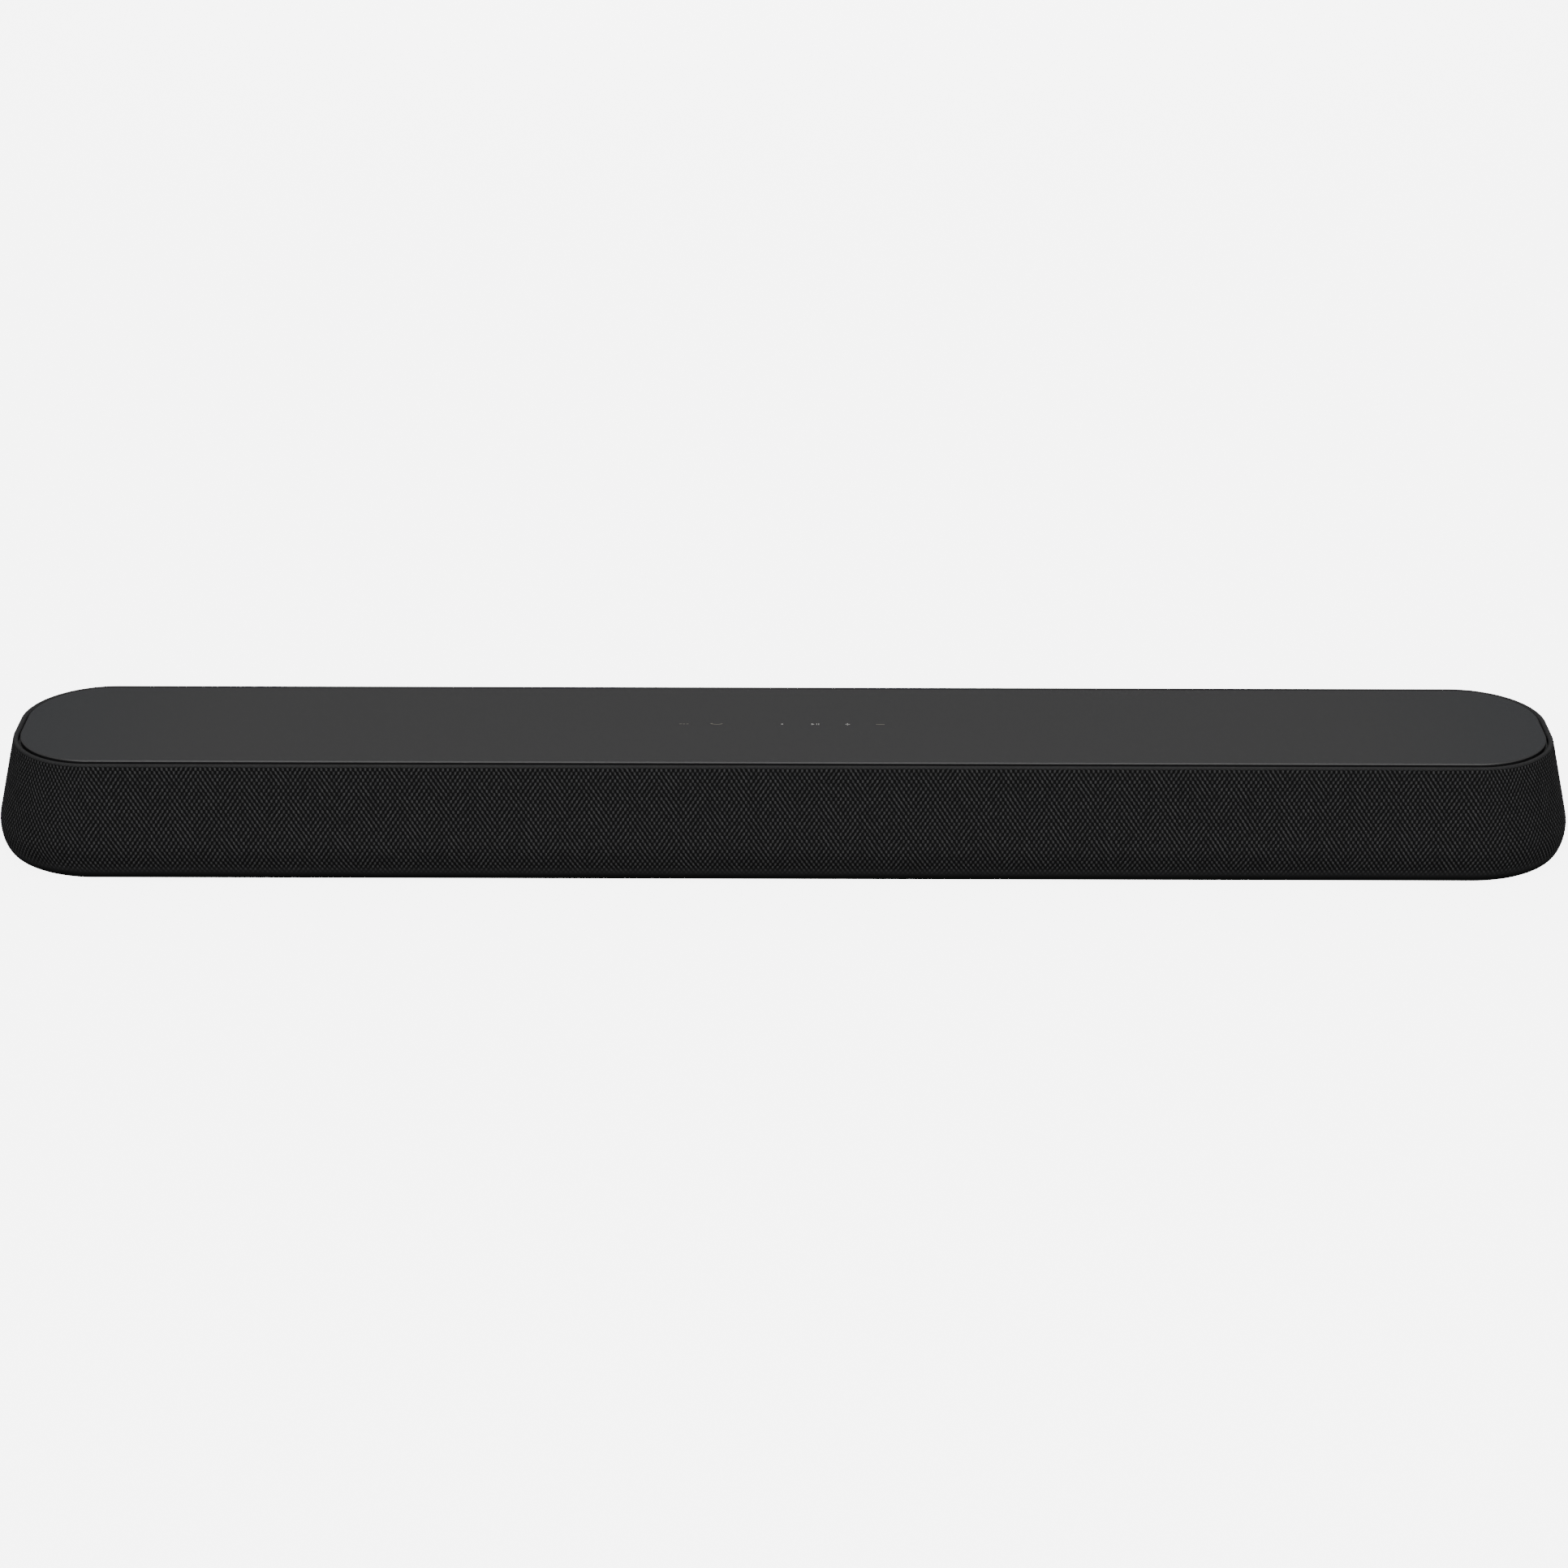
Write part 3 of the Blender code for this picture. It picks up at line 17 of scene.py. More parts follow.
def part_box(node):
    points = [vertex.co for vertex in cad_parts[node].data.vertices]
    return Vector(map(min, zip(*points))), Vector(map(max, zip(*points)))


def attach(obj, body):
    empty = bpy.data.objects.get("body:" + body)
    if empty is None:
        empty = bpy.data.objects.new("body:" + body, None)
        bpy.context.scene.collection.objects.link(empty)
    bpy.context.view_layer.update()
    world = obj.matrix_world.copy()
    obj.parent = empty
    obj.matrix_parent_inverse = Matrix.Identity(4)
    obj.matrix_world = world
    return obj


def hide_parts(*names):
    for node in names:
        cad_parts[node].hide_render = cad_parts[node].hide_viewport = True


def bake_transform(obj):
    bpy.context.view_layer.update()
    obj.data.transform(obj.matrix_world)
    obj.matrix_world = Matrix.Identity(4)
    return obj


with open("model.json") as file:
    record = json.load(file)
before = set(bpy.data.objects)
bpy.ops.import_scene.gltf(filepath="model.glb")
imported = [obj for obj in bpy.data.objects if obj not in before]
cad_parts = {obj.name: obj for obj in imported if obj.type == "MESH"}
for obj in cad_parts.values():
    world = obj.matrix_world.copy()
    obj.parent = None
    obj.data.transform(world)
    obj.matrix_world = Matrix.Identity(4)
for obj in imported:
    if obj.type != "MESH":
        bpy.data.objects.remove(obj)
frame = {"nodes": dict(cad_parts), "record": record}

bl_info = {
    "name": "Soundbar finish",
    "version": (1, 0, 0),
    "blender": (4, 5, 0),
    "location": "View3D > Sidebar > Soundbar",
    "description": "Adds the knit skin, touch plate, rear bay, feet and finishes of a compact soundbar",
    "category": "Object",
}

# ---- places taken from the frame
BODY_OF = {node: body for body, nodes in frame["record"]["behaviour"]["bodies"].items() for node in nodes}
SLOT_OF = {part["node"]: part["material_slot"] for part in frame["record"]["subparts"]}
SKIN_LOW, SKIN_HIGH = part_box("fabric_sleeve")
PLATE_LOW, PLATE_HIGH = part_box("top_plate")
BAY_LOW, BAY_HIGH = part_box("rear_bay")
HALF_LENGTH, HALF_DEPTH, TOP = SKIN_HIGH
UNDERSIDE = SKIN_LOW.z
PLATE_INSET = HALF_LENGTH - PLATE_HIGH.x
BAY_MIDDLE = (BAY_LOW.z + BAY_HIGH.z) / 2
BAY_REACH = BAY_HIGH.z - BAY_MIDDLE

# The skin's plan and side profile, as the frame was made to them.
CORNER_ALONG = 0.0573
CORNER_ACROSS = 0.0532
WIDEST_HEIGHT = 0.0153
LOWER_TUCK = 0.0061
BELLY_RADIUS = 0.025
TOP_LEAN = 0.0112
BOTTOM_TURN = 0.0029
BOTTOM_EDGE = 0.0007
SHOULDER = 0.0011
LIP_INSET = 0.0137
LIP_SAG = 0.0008
LIP_DROP = 0.0017
LIP_ROUND = 0.0003
WIDEST_Z = UNDERSIDE + WIDEST_HEIGHT
CORNER_STEPS, TUCK_STEPS, BELLY_STEPS, SHOULDER_STEPS, LIP_STEPS = 48, 12, 6, 6, 3
LEAN_ROUNDS = 30
QUARTER_TURN = math.pi / 2
FULL_TURN = 2 * math.pi
SMOOTH_TURN = math.radians(35)
TOUCHING = 1e-6
FLAT_TURN = math.radians(0.5)
SQUARE_ON = 0.95


# ---- outlines
def lean_angle():
    """The angle from upright of the straight upper part of the skin, which runs off the belly's arc."""
    angle = 0.0
    rise = TOP - WIDEST_Z
    for _ in range(LEAN_ROUNDS):
        inward = TOP_LEAN - BELLY_RADIUS * (1 - math.cos(angle))
        angle = math.atan2(inward, rise - BELLY_RADIUS * math.sin(angle))
    return angle


LEAN = lean_angle()


def plan_line():
    """The widest line, anticlockwise from the front's middle: places and outward directions, as arrays."""
    places, directions = [(0.0, -HALF_DEPTH)], [(0.0, -1.0)]
    for corner, (side_x, side_y) in enumerate(((1, -1), (1, 1), (-1, 1), (-1, -1))):
        centre_x = side_x * (HALF_LENGTH - CORNER_ALONG)
        centre_y = side_y * (HALF_DEPTH - CORNER_ACROSS)
        for turn in np.linspace(0, QUARTER_TURN, CORNER_STEPS + 1) + QUARTER_TURN * (corner - 1):
            cosine, sine = math.cos(turn), math.sin(turn)
            places.append((centre_x + CORNER_ALONG * cosine, centre_y + CORNER_ACROSS * sine))
            directions.append(tuple(Vector((cosine / CORNER_ALONG, sine / CORNER_ACROSS)).normalized()))
    return np.array(places + places[:1]), np.array(directions + directions[:1])


def run_length(points):
    """The length run at each point of a line."""
    return np.concatenate(([0.0], np.cumsum(np.linalg.norm(np.diff(points, axis=0), axis=1))))


def on_line(run, runs, line):
    """The two parts of a line's points at lengths run along it."""
    return [np.interp(run, runs, line[:, i]) for i in (0, 1)]


def arc(centre, radius, start, end, steps):
    """Points (inset, z) of an arc, from one angle to another."""
    turns = np.linspace(start, end, steps + 1)
    return [(centre[0] + radius * math.cos(t), centre[1] + radius * math.sin(t)) for t in turns]


def skin_line():
    """The skin's side profile as points (inset, z), from the bottom edge by the belly to the lip."""
    tuck_end = LOWER_TUCK + BOTTOM_TURN
    line = [(tuck_end, UNDERSIDE + BOTTOM_EDGE), (tuck_end, UNDERSIDE)]
    for turn in np.linspace(0, QUARTER_TURN, TUCK_STEPS + 1):
        line.append((LOWER_TUCK * (1 - math.sin(turn)), WIDEST_Z - WIDEST_HEIGHT * math.cos(turn)))
    line += arc((BELLY_RADIUS, WIDEST_Z), BELLY_RADIUS, math.pi, math.pi - LEAN, BELLY_STEPS)[1:]
    # The shoulder's centre is its radius in from the leaning side and down from the top.
    side_inset = TOP_LEAN - SHOULDER * math.tan(LEAN)
    centre = (side_inset + SHOULDER / math.cos(LEAN), TOP - SHOULDER)
    line += arc(centre, SHOULDER, math.pi - LEAN, QUARTER_TURN, SHOULDER_STEPS)
    lip = (LIP_INSET - LIP_ROUND, TOP - LIP_SAG - LIP_ROUND)
    line += arc(lip, LIP_ROUND, QUARTER_TURN, 0.0, LIP_STEPS)
    return np.array([*line, (LIP_INSET, TOP - LIP_DROP)])


# ---- modelling helpers
def lone(piece):
    """Makes a piece the only selected object, and the active one."""
    bpy.ops.object.select_all(action="DESELECT")
    piece.select_set(True)
    bpy.context.view_layer.objects.active = piece


def start(name, kind, **settings):
    """Adds a primitive by its operator, and gives it its name."""
    bpy.ops.object.select_all(action="DESELECT")
    getattr(bpy.ops.mesh, f"primitive_{kind}_add")(**settings)
    piece = bpy.context.object
    piece.name = piece.data.name = name
    return piece


@contextmanager
def editing(piece, faces=None, edges=None):
    """Edit mode on one piece, with all of it selected, or only the faces or the edges that pass a test.

    A test is given the middle of a face and its normal, or the middle of an edge and the way along it.
    """
    mesh = piece.data
    for group in (mesh.vertices, mesh.edges, mesh.polygons):
        group.foreach_set("select", [not faces and not edges] * len(group))
    for face in mesh.polygons if faces else ():
        face.select = faces(face.center, face.normal)
    for edge in mesh.edges if edges else ():
        first, second = (mesh.vertices[i] for i in edge.vertices)
        if edges((first.co + second.co) / 2, second.co - first.co):
            edge.select = first.select = second.select = True
    lone(piece)
    bpy.ops.object.mode_set(mode="EDIT")
    bpy.ops.mesh.select_mode(type="EDGE" if edges else "FACE")
    yield
    bpy.ops.object.mode_set(mode="OBJECT")


def modify(piece, kind, **settings):
    """Adds a modifier and applies it."""
    lone(piece)
    modifier = piece.modifiers.new(kind.lower(), kind)
    for name, value in settings.items():
        setattr(modifier, name, value)
    bpy.ops.object.modifier_apply(modifier=modifier.name)


def linked(name, data):
    """A new object in the scene."""
    made = bpy.data.objects.new(name, data)
    bpy.context.scene.collection.objects.link(made)
    return made


def settle(piece):
    """Moves a piece's place, turn and size into its mesh."""
    lone(piece)
    bpy.ops.object.transform_apply(location=True, rotation=True, scale=True)
    return piece


def smooth(piece):
    """Shades a piece smooth except at its sharp edges, with flat faces kept flat beside rounded ones."""
    lone(piece)
    bpy.ops.object.shade_smooth_by_angle(angle=SMOOTH_TURN)
    modify(piece, "WEIGHTED_NORMAL", keep_sharp=True, weight=80)


def round_edges(piece, width, segments=2, turn=SMOOTH_TURN):
    """Rounds the edges that turn more than an angle, and shades the piece again."""
    modify(piece, "BEVEL", width=width, segments=segments, limit_method="ANGLE", angle_limit=turn)
    smooth(piece)


def bevel_edges(piece, width, segments, wanted):
    """Bevels the edges that pass a test."""
    with editing(piece, edges=wanted):
        bpy.ops.mesh.bevel(offset=width, segments=segments, affect="EDGES")


def middle_of(node):
    """The middle of a node's box."""
    low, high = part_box(node)
    return (low + high) / 2


def vertex_places(piece):
    return np.array([vertex.co for vertex in piece.data.vertices])


def put_vertices(piece, places):
    piece.data.vertices.foreach_set("co", places.astype(np.float32).ravel())
    piece.data.update()


def outwards(piece):
    """Merges a piece's doubles and turns its faces outwards."""
    with editing(piece):
        bpy.ops.mesh.remove_doubles(threshold=TOUCHING)
        bpy.ops.mesh.normals_make_consistent(inside=False)


def block(name, low, high):
    """A box between two corners."""
    low, high = Vector(low), Vector(high)
    piece = start(name, "cube", size=1, location=(low + high) / 2)
    piece.scale = high - low
    return settle(piece)


def joined(name, pieces):
    """Joins pieces into one."""
    bpy.ops.object.select_all(action="DESELECT")
    for piece in pieces:
        piece.select_set(True)
    whole = bpy.context.view_layer.objects.active = pieces[0]
    if len(pieces) > 1:
        bpy.ops.object.join()
    whole.name = whole.data.name = name
    return whole


def carve(piece, cutter):
    """Cuts a piece with another, which is then removed."""
    modify(piece, "BOOLEAN", object=cutter, operation="DIFFERENCE", solver="EXACT")
    bpy.data.objects.remove(cutter, do_unlink=True)


def finish_piece(piece, slot, material=None, body="cabinet"):
    """Gives a finished piece the material of its slot, or the one given, and the body it rides on."""
    piece.data.materials.clear()
    piece.data.materials.append(material or finish_of(slot))
    if body:
        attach(piece, body)
    return piece


def paint_faces(piece, material, wanted):
    """Adds a material to a piece and gives it to the faces that pass a test."""
    piece.data.materials.append(material)
    index = len(piece.data.materials) - 1
    for face in piece.data.polygons:
        if wanted(face):
            face.material_index = index


def fine_copy(node, edge=0.0, segments=2, rides=True):
    """A merged copy of a node with its edges rounded, which stands for it, with its slot's material and its
    body.
    """
    piece = linked(f"fine_{node}", frame["nodes"][node].data.copy())
    lone(piece)
    bpy.ops.mesh.customdata_custom_splitnormals_clear()
    with editing(piece):
        bpy.ops.mesh.remove_doubles(threshold=TOUCHING)
        bpy.ops.mesh.dissolve_limited(angle_limit=FLAT_TURN)
    if edge:
        round_edges(piece, edge, segments)
    else:
        smooth(piece)
    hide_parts(node)
    return finish_piece(piece, SLOT_OF[node], body=BODY_OF[node] if rides else None)


# ---- shader helpers
def shader_maths(operation, swapped=False):
    """A method that adds the Math node of one operation to a wire and what it is used with."""
    return lambda wire, *others: wire.math(operation, *others, swapped=swapped)


class Wire:
    """A shader socket that takes part in Python expressions, which add the Math nodes they need."""

    def __init__(self, nodes, socket):
        self.nodes = nodes
        self.socket = socket

    def math(self, operation, *others, swapped=False):
        inputs = (*others, self) if swapped else (self, *others)
        return self.nodes.add("ShaderNodeMath", {"operation": operation}, dict(enumerate(inputs)))

    __add__, __radd__ = shader_maths("ADD"), shader_maths("ADD", swapped=True)
    __sub__, __rsub__ = shader_maths("SUBTRACT"), shader_maths("SUBTRACT", swapped=True)
    __mul__, __rmul__ = shader_maths("MULTIPLY"), shader_maths("MULTIPLY", swapped=True)
    __abs__, floor = shader_maths("ABSOLUTE"), shader_maths("FLOOR")
    sin, cos = shader_maths("SINE"), shader_maths("COSINE")

    def above(self, low, high, first=0.0, last=1.0):
        """A soft step from one value, below low, to another, above high."""
        sockets = {0: self, 1: low, 2: high, 3: first, 4: last}
        return self.nodes.add("ShaderNodeMapRange", {"interpolation_type": "SMOOTHSTEP"}, sockets)


class Nodes:
    """A node tree, with the one method that adds its nodes."""

    def __init__(self, tree):
        self.tree = tree

    def add(self, kind, settings=None, sockets=None, output=0):
        """Adds a node: its settings first, then the values or links of its sockets. Gives one output."""
        made = self.tree.nodes.new(kind)
        for name, value in (settings or {}).items():
            setattr(made, name, value)
        for key, value in (sockets or {}).items():
            self.link(made.inputs[key], value)
        return Wire(self, made.outputs[output])

    def link(self, socket, value):
        if isinstance(value, Wire):
            self.tree.links.new(value.socket, socket)
        else:
            socket.default_value = value

    def parts(self, vector):
        """The three parts of a vector."""
        first = self.add("ShaderNodeSeparateXYZ", sockets={0: vector})
        return [Wire(self, output) for output in first.socket.node.outputs]


class Finish(Nodes):
    """A material with one Principled shader, its constant values, and the nodes that vary over it."""

    def __init__(self, name, colour, **constants):
        self.material = bpy.data.materials.new(name)
        self.material.use_nodes = True
        super().__init__(self.material.node_tree)
        self.colour = tuple(colour)
        self.material.diffuse_color = (*self.colour, 1.0)
        self.feed(base_color=(*self.colour, 1.0), **constants)

    def feed(self, **sockets):
        """Sets or links the shader's sockets."""
        inputs = self.tree.nodes["Principled BSDF"].inputs
        for name, value in sockets.items():
            self.link(inputs[name.replace("_", " ").title().replace("Ior", "IOR")], value)

    @cached_property
    def place(self):
        """The object's own coordinates."""
        return self.add("ShaderNodeTexCoord", output="Object")

    def noise(self, scale, detail=2.0, roughness=0.5, vector=None):
        """Noise over the object or a vector, with one scale or one for each axis."""
        vector = vector or self.place
        if isinstance(scale, tuple):
            vector = self.add("ShaderNodeMapping", sockets={"Vector": vector, "Scale": scale})
            scale = 1.0
        sockets = {"Vector": vector, "Scale": scale, "Detail": detail, "Roughness": roughness}
        return self.add("ShaderNodeTexNoise", sockets=sockets)

    def cells(self, scale, feature="F1", randomness=1.0):
        """Irregular cells over the object."""
        sockets = {"Vector": self.place, "Scale": scale, "Randomness": randomness}
        return self.add("ShaderNodeTexVoronoi", {"feature": feature}, sockets)

    def mixed(self, factor, first, second):
        """A colour between two, by a factor."""
        first, second = (c if isinstance(c, Wire) else (*c, 1.0) for c in (first, second))
        return self.add("ShaderNodeMix", {"data_type": "RGBA"}, {0: factor, 6: first, 7: second}, 2)

    def tints(self, factor, dark, light):
        """A tone between a darker and a lighter tint of the finish's own colour."""
        return self.mixed(factor, tint(self.colour, dark), tint(self.colour, light))

    def bump(self, height, distance, strength):
        sockets = {"Height": height, "Distance": distance, "Strength": strength}
        return self.add("ShaderNodeBump", sockets=sockets)

    def made(self, colour, roughness, *relief):
        """Links the colour, the roughness and a relief of height, depth and strength. Gives the material."""
        self.feed(base_color=colour, roughness=roughness)
        if relief:
            self.feed(normal=self.bump(*relief))
        return self.material


def tint(colour, amount):
    """A colour made lighter or darker."""
    return tuple(min(part * amount, 1.0) for part in colour)


# ---- finishes
def moulded_finish(name, colour, roughness, grain, depth):
    """Moulded plastic: a fine spark-eroded grain, with the tone and gloss varying a little over it."""
    finish = Finish(name, colour, roughness=roughness)
    fine = finish.noise(1 / grain, 3.0, 0.6)
    broad = finish.noise(28.0)
    gloss = roughness + 0.14 * (broad - 0.5) + 0.1 * (fine - 0.5)
    return finish.made(finish.tints(0.6 * fine + 0.4 * broad, 0.88, 1.12), gloss, fine, depth, 0.5)


def rubber_finish(name, colour):
    """Soft rubber with a little dust on it."""
    finish = Finish(name, colour, roughness=0.8, specular_ior_level=0.3)
    fine = finish.noise(1800.0, 3.0, 0.7)
    dust = finish.noise(60.0, 3.0).above(0.5, 0.8)
    return finish.made(finish.tints(dust, 1.0, 1.7), 0.72 + 0.2 * fine, fine, 0.00003, 0.6)


def powder_coat_finish(name, colour):
    """Black powder coat: a soft orange-peel texture."""
    finish = Finish(name, colour, roughness=0.45)
    peel = finish.cells(900.0, "SMOOTH_F1")
    broad = finish.noise(40.0)
    return finish.made(finish.tints(broad, 0.85, 1.2), 0.36 + 0.2 * peel, peel, 0.00005, 0.6)


def pressed_fibre_finish(name, colour):
    """Pressed paper fibre: short pale fibres in a dark pulp."""
    finish = Finish(name, colour, roughness=0.9, specular_ior_level=0.25)
    across = finish.noise((2600.0, 400.0, 300.0), 4.0, 0.7)
    upward = finish.noise((300.0, 400.0, 2600.0), 4.0, 0.7)
    fibres = across.math("MAXIMUM", upward)
    pulp = finish.tints(fibres.above(0.5, 0.75), 0.75, 1.7)
    return finish.made(pulp, 0.8 + 0.15 * fibres, fibres, 0.00006, 0.7)


def woven_finish(name, colour, pitch):
    """Resin-dipped cloth, woven square to X and Z."""
    finish = Finish(name, colour, roughness=0.7)
    x, _, z = finish.parts(finish.place)
    wave = (x * (FULL_TURN / pitch)).sin() * (z * (FULL_TURN / pitch)).sin()
    weave = abs(wave)
    return finish.made(finish.tints(weave, 1.15, 0.5), 0.6 + 0.25 * weave, wave, 0.0001, 0.6)


def wound_finish(name, colour, pitch):
    """A single layer of fine wire wound round an axis along Y."""
    finish = Finish(name, colour, roughness=0.28, metallic=1.0)
    _, y, _ = finish.parts(finish.place)
    turns = abs((y * (math.pi / pitch)).sin())
    stain = finish.noise(150.0)
    # The wire's colour drops in the grooves between its turns, as painted shade.
    wire = finish.tints(turns * (0.6 + 0.4 * stain), 0.35, 1.0)
    return finish.made(wire, 0.2 + 0.2 * stain, turns, pitch / 3, 0.8)


def ferrite_finish(name, colour):
    """Sintered ferrite: dark, slightly speckled, with faint grinding lines."""
    finish = Finish(name, colour, roughness=0.65)
    speck = finish.cells(1400.0)
    ground = finish.noise((60.0, 900.0, 60.0), 3.0)
    speckled = finish.tints(speck.above(0.2, 0.9), 0.7, 1.8)
    return finish.made(speckled, 0.5 + 0.3 * ground, speck + ground, 0.00004, 0.5)


def metal_finish(name, colour, roughness, brushed=(400.0, 400.0, 400.0)):
    """Bare or plated metal, brushed along the axis that the pattern is stretched on."""
    finish = Finish(name, colour, roughness=roughness, metallic=1.0)
    grain = finish.noise(brushed, 4.0, 0.65)
    stain = finish.noise(70.0)
    gloss = roughness + 0.25 * (grain - 0.4) + 0.1 * (stain - 0.5)
    return finish.made(finish.tints(0.5 * grain + 0.5 * stain, 0.72, 1.08), gloss, grain, 0.00002, 0.5)


def board_finish(name, colour, trace, tin):
    """Green solder mask over copper traces, with tinned pads."""
    finish = Finish(name, colour, roughness=0.35)
    traces = 1 - finish.cells(320.0, "DISTANCE_TO_EDGE", 0.35).above(0.05, 0.1)
    pads = 1 - finish.cells(450.0, "F1", 0.2).above(0.2, 0.26)
    chosen = pads * finish.noise(90.0).above(0.5, 0.56)
    finish.feed(metallic=chosen * 0.9)
    tinned = finish.mixed(chosen, finish.mixed(traces, colour, trace), tin)
    return finish.made(tinned, 0.34 - 0.06 * chosen, traces + chosen, 0.00004, 0.6)


def film_finish(name, colour, copper, pitch):
    """Amber film with straight copper conductors along it."""
    finish = Finish(name, colour, roughness=0.3)
    x, _, _ = finish.parts(finish.place)
    line = (x * (FULL_TURN / pitch)).cos().above(-0.1, 0.3)
    gloss = 0.26 + 0.1 * finish.noise(300.0)
    return finish.made(finish.mixed(line, colour, copper), gloss, line, 0.00003, 0.5)


def sheath_finish(name, colour):
    """Soft lead insulation, or tape."""
    finish = Finish(name, colour, roughness=0.4)
    fine = finish.noise(900.0)
    return finish.made(finish.tints(fine, 0.8, 1.4), 0.34 + 0.16 * fine, fine, 0.00003, 0.4)


def knit_finish(settings, shape):
    """The knit, from the stitch coordinates: raised dark thread loops over near-black gaps partly of painted
    shade.
    """
    finish = Finish("knit", settings.thread, roughness=0.82, specular_ior_level=0.22)
    stitch = finish.add("ShaderNodeUVMap", {"uv_map": "stitches"})
    across, up, _ = finish.parts(stitch)
    height = loop_height(across, up, shape.quarter, Wire.sin, Wire.cos)
    relief = 1 - up.above(shape.rows - FOLD_ROWS, shape.rows - FOLD_ROWS + FOLD_FADE)
    relief = relief * up.above(*TURN_ROWS)
    # Towards the bottom turn the tone falls to the gap colour: painted shade under the bar.
    loops = relief * height.above(*THREAD_HEIGHTS) + (1 - relief) * (FOLD_TONE * up.above(*PAINTED_TURN_SHADE))
    yarn = finish.noise((1.1, 0.9, 1.0), vector=stitch)
    cell = {0: (across + 0.5 * up + 0.5).floor(), 1: (across - 0.5 * up + 0.5).floor()}
    cell = finish.add("ShaderNodeCombineXYZ", sockets=cell)
    single = finish.add("ShaderNodeTexWhiteNoise", {"noise_dimensions": "2D"}, {"Vector": cell})
    filament = ((across * 5.0 + up * 1.5) * FULL_TURN).sin()
    strand = loops * (0.60 + 0.5 * yarn + 0.34 * relief * (single - 0.5))
    # From the gap colour in the hollows to the thread colour on the crests: partly the yarn's own, partly
    # painted shade.
    thread = finish.mixed(strand, settings.gap, settings.thread)
    return finish.made(thread, 0.9 - 0.16 * loops, loops + 0.1 * relief * filament, 0.00022, 0.7)


def edge_finish(settings):
    """The plate's cut edge: the same grey with the grain taken off, so that it catches the light."""
    finish = Finish("plate_edge", settings.colour, roughness=0.3, specular_ior_level=0.6)
    grain = finish.noise(1800.0)
    return finish.made(finish.tints(grain, 0.85, 1.1), 0.28 + 0.12 * grain)


def print_finish(name, colour):
    """Thin printed ink with a fine speckle."""
    finish = Finish(name, colour, roughness=0.5)
    speck = finish.noise(3000.0)
    return finish.made(finish.tints(speck, 0.8, 1.15), 0.45 + 0.1 * speck)


def plate_finish(settings):
    """The plate's fine matte grain, a touch cooler towards the two ends."""
    finish = Finish("plate", settings.colour, roughness=settings.roughness, specular_ior_level=0.3)
    x, _, _ = finish.parts(finish.place)
    grain = finish.noise(1 / PLATE_GRAIN, 3.0, 0.6)
    broad = finish.noise(9.0)
    end = abs(x).above(HALF_LENGTH * PLATE_END, HALF_LENGTH)
    cool = tuple(part * share for part, share in zip(finish.colour, PLATE_END_TINT))
    colour = finish.mixed(end, finish.tints(0.7 * grain + 0.3 * broad, 0.93, 1.07), cool)
    return finish.made(colour, settings.roughness + 0.1 * (grain - 0.5), grain, 0.00002, 0.45)


# Each finish's maker, with the material's name, colour and other values. Most are named for their slot.
FINISHES = {
    "moulded_plastic": (moulded_finish, "moulded_black", (0.015, 0.015, 0.016), 0.5, 0.0004, 0.00003),
    "black_plastic": (moulded_finish, "eroded_black", (0.014, 0.014, 0.015), 0.42, 0.0003, 0.00004),
    "ceramic": (moulded_finish, "ceramic", (0.3, 0.22, 0.13), 0.4, 0.0004, 0.00002),
    "rubber": (rubber_finish, "soft_rubber", (0.02, 0.02, 0.02)),
    "painted_steel": (powder_coat_finish, "powder_coat", (0.03, 0.03, 0.032)),
    "cone_paper": (pressed_fibre_finish, "pressed_fibre", (0.05, 0.05, 0.052)),
    "spider_cloth": (woven_finish, "dipped_cloth", (0.45, 0.3, 0.12), 0.0009),
    "copper": (wound_finish, "coil_wire", (0.75, 0.34, 0.16), 0.00022),
    "magnet_ferrite": (ferrite_finish, "ferrite", (0.03, 0.03, 0.033)),
    "zinc_steel": (metal_finish, "black_zinc", (0.09, 0.09, 0.095), 0.3),
    "brass": (metal_finish, "brass", (0.72, 0.52, 0.2), 0.3),
    "gold": (metal_finish, "gold_plate", (0.8, 0.58, 0.22), 0.25),
    "aluminium": (metal_finish, "aluminium", (0.8, 0.8, 0.8), 0.38, (60.0, 1200.0, 1200.0)),
    "socket_metal": (metal_finish, "nickel", (0.62, 0.6, 0.56), 0.26),
    "circuit_board": (board_finish, "solder_mask", (0.01, 0.09, 0.03), (0.02, 0.16, 0.05), (0.62, 0.6, 0.55)),
    "ribbon_film": (film_finish, "ribbon_film", (0.26, 0.13, 0.03), (0.42, 0.2, 0.08), 0.0011),
    "lead_pvc": (sheath_finish, "lead_sheath", (0.02, 0.02, 0.02)),
    "winding_tape": (sheath_finish, "winding_tape", (0.5, 0.3, 0.03)),
}


@cache
def finish_of(kind):
    """The one material of a kind, made the first time it is asked for."""
    maker, *values = FINISHES[kind]
    return maker(*values)


# ---- settings
def length_setting(name, description, default):
    return bpy.props.FloatProperty(
        name=name, description=description, default=default, unit="LENGTH", precision=5
    )


def colour_setting(name, description, default):
    return bpy.props.FloatVectorProperty(
        name=name, description=description, default=default, subtype="COLOR", min=0, max=1
    )


def angle_setting(name, description, degrees):
    return bpy.props.FloatProperty(
        name=name, description=description, default=math.radians(degrees), subtype="ANGLE"
    )


class KnitSettings(bpy.types.PropertyGroup):
    stitch: length_setting("Stitch", "Width of one stitch", 0.00256)
    row: length_setting("Row", "Height of one row of stitches", 0.00192)
    relief: length_setting("Relief", "How far a loop stands proud", 0.00024)
    thread: colour_setting("Thread", "Colour of the raised thread", (0.088, 0.088, 0.0898))
    # The gap colour is dark yarn with painted shade between the loops.
    gap: colour_setting("Gap", "Colour between the loops", (0.006, 0.006, 0.0065))


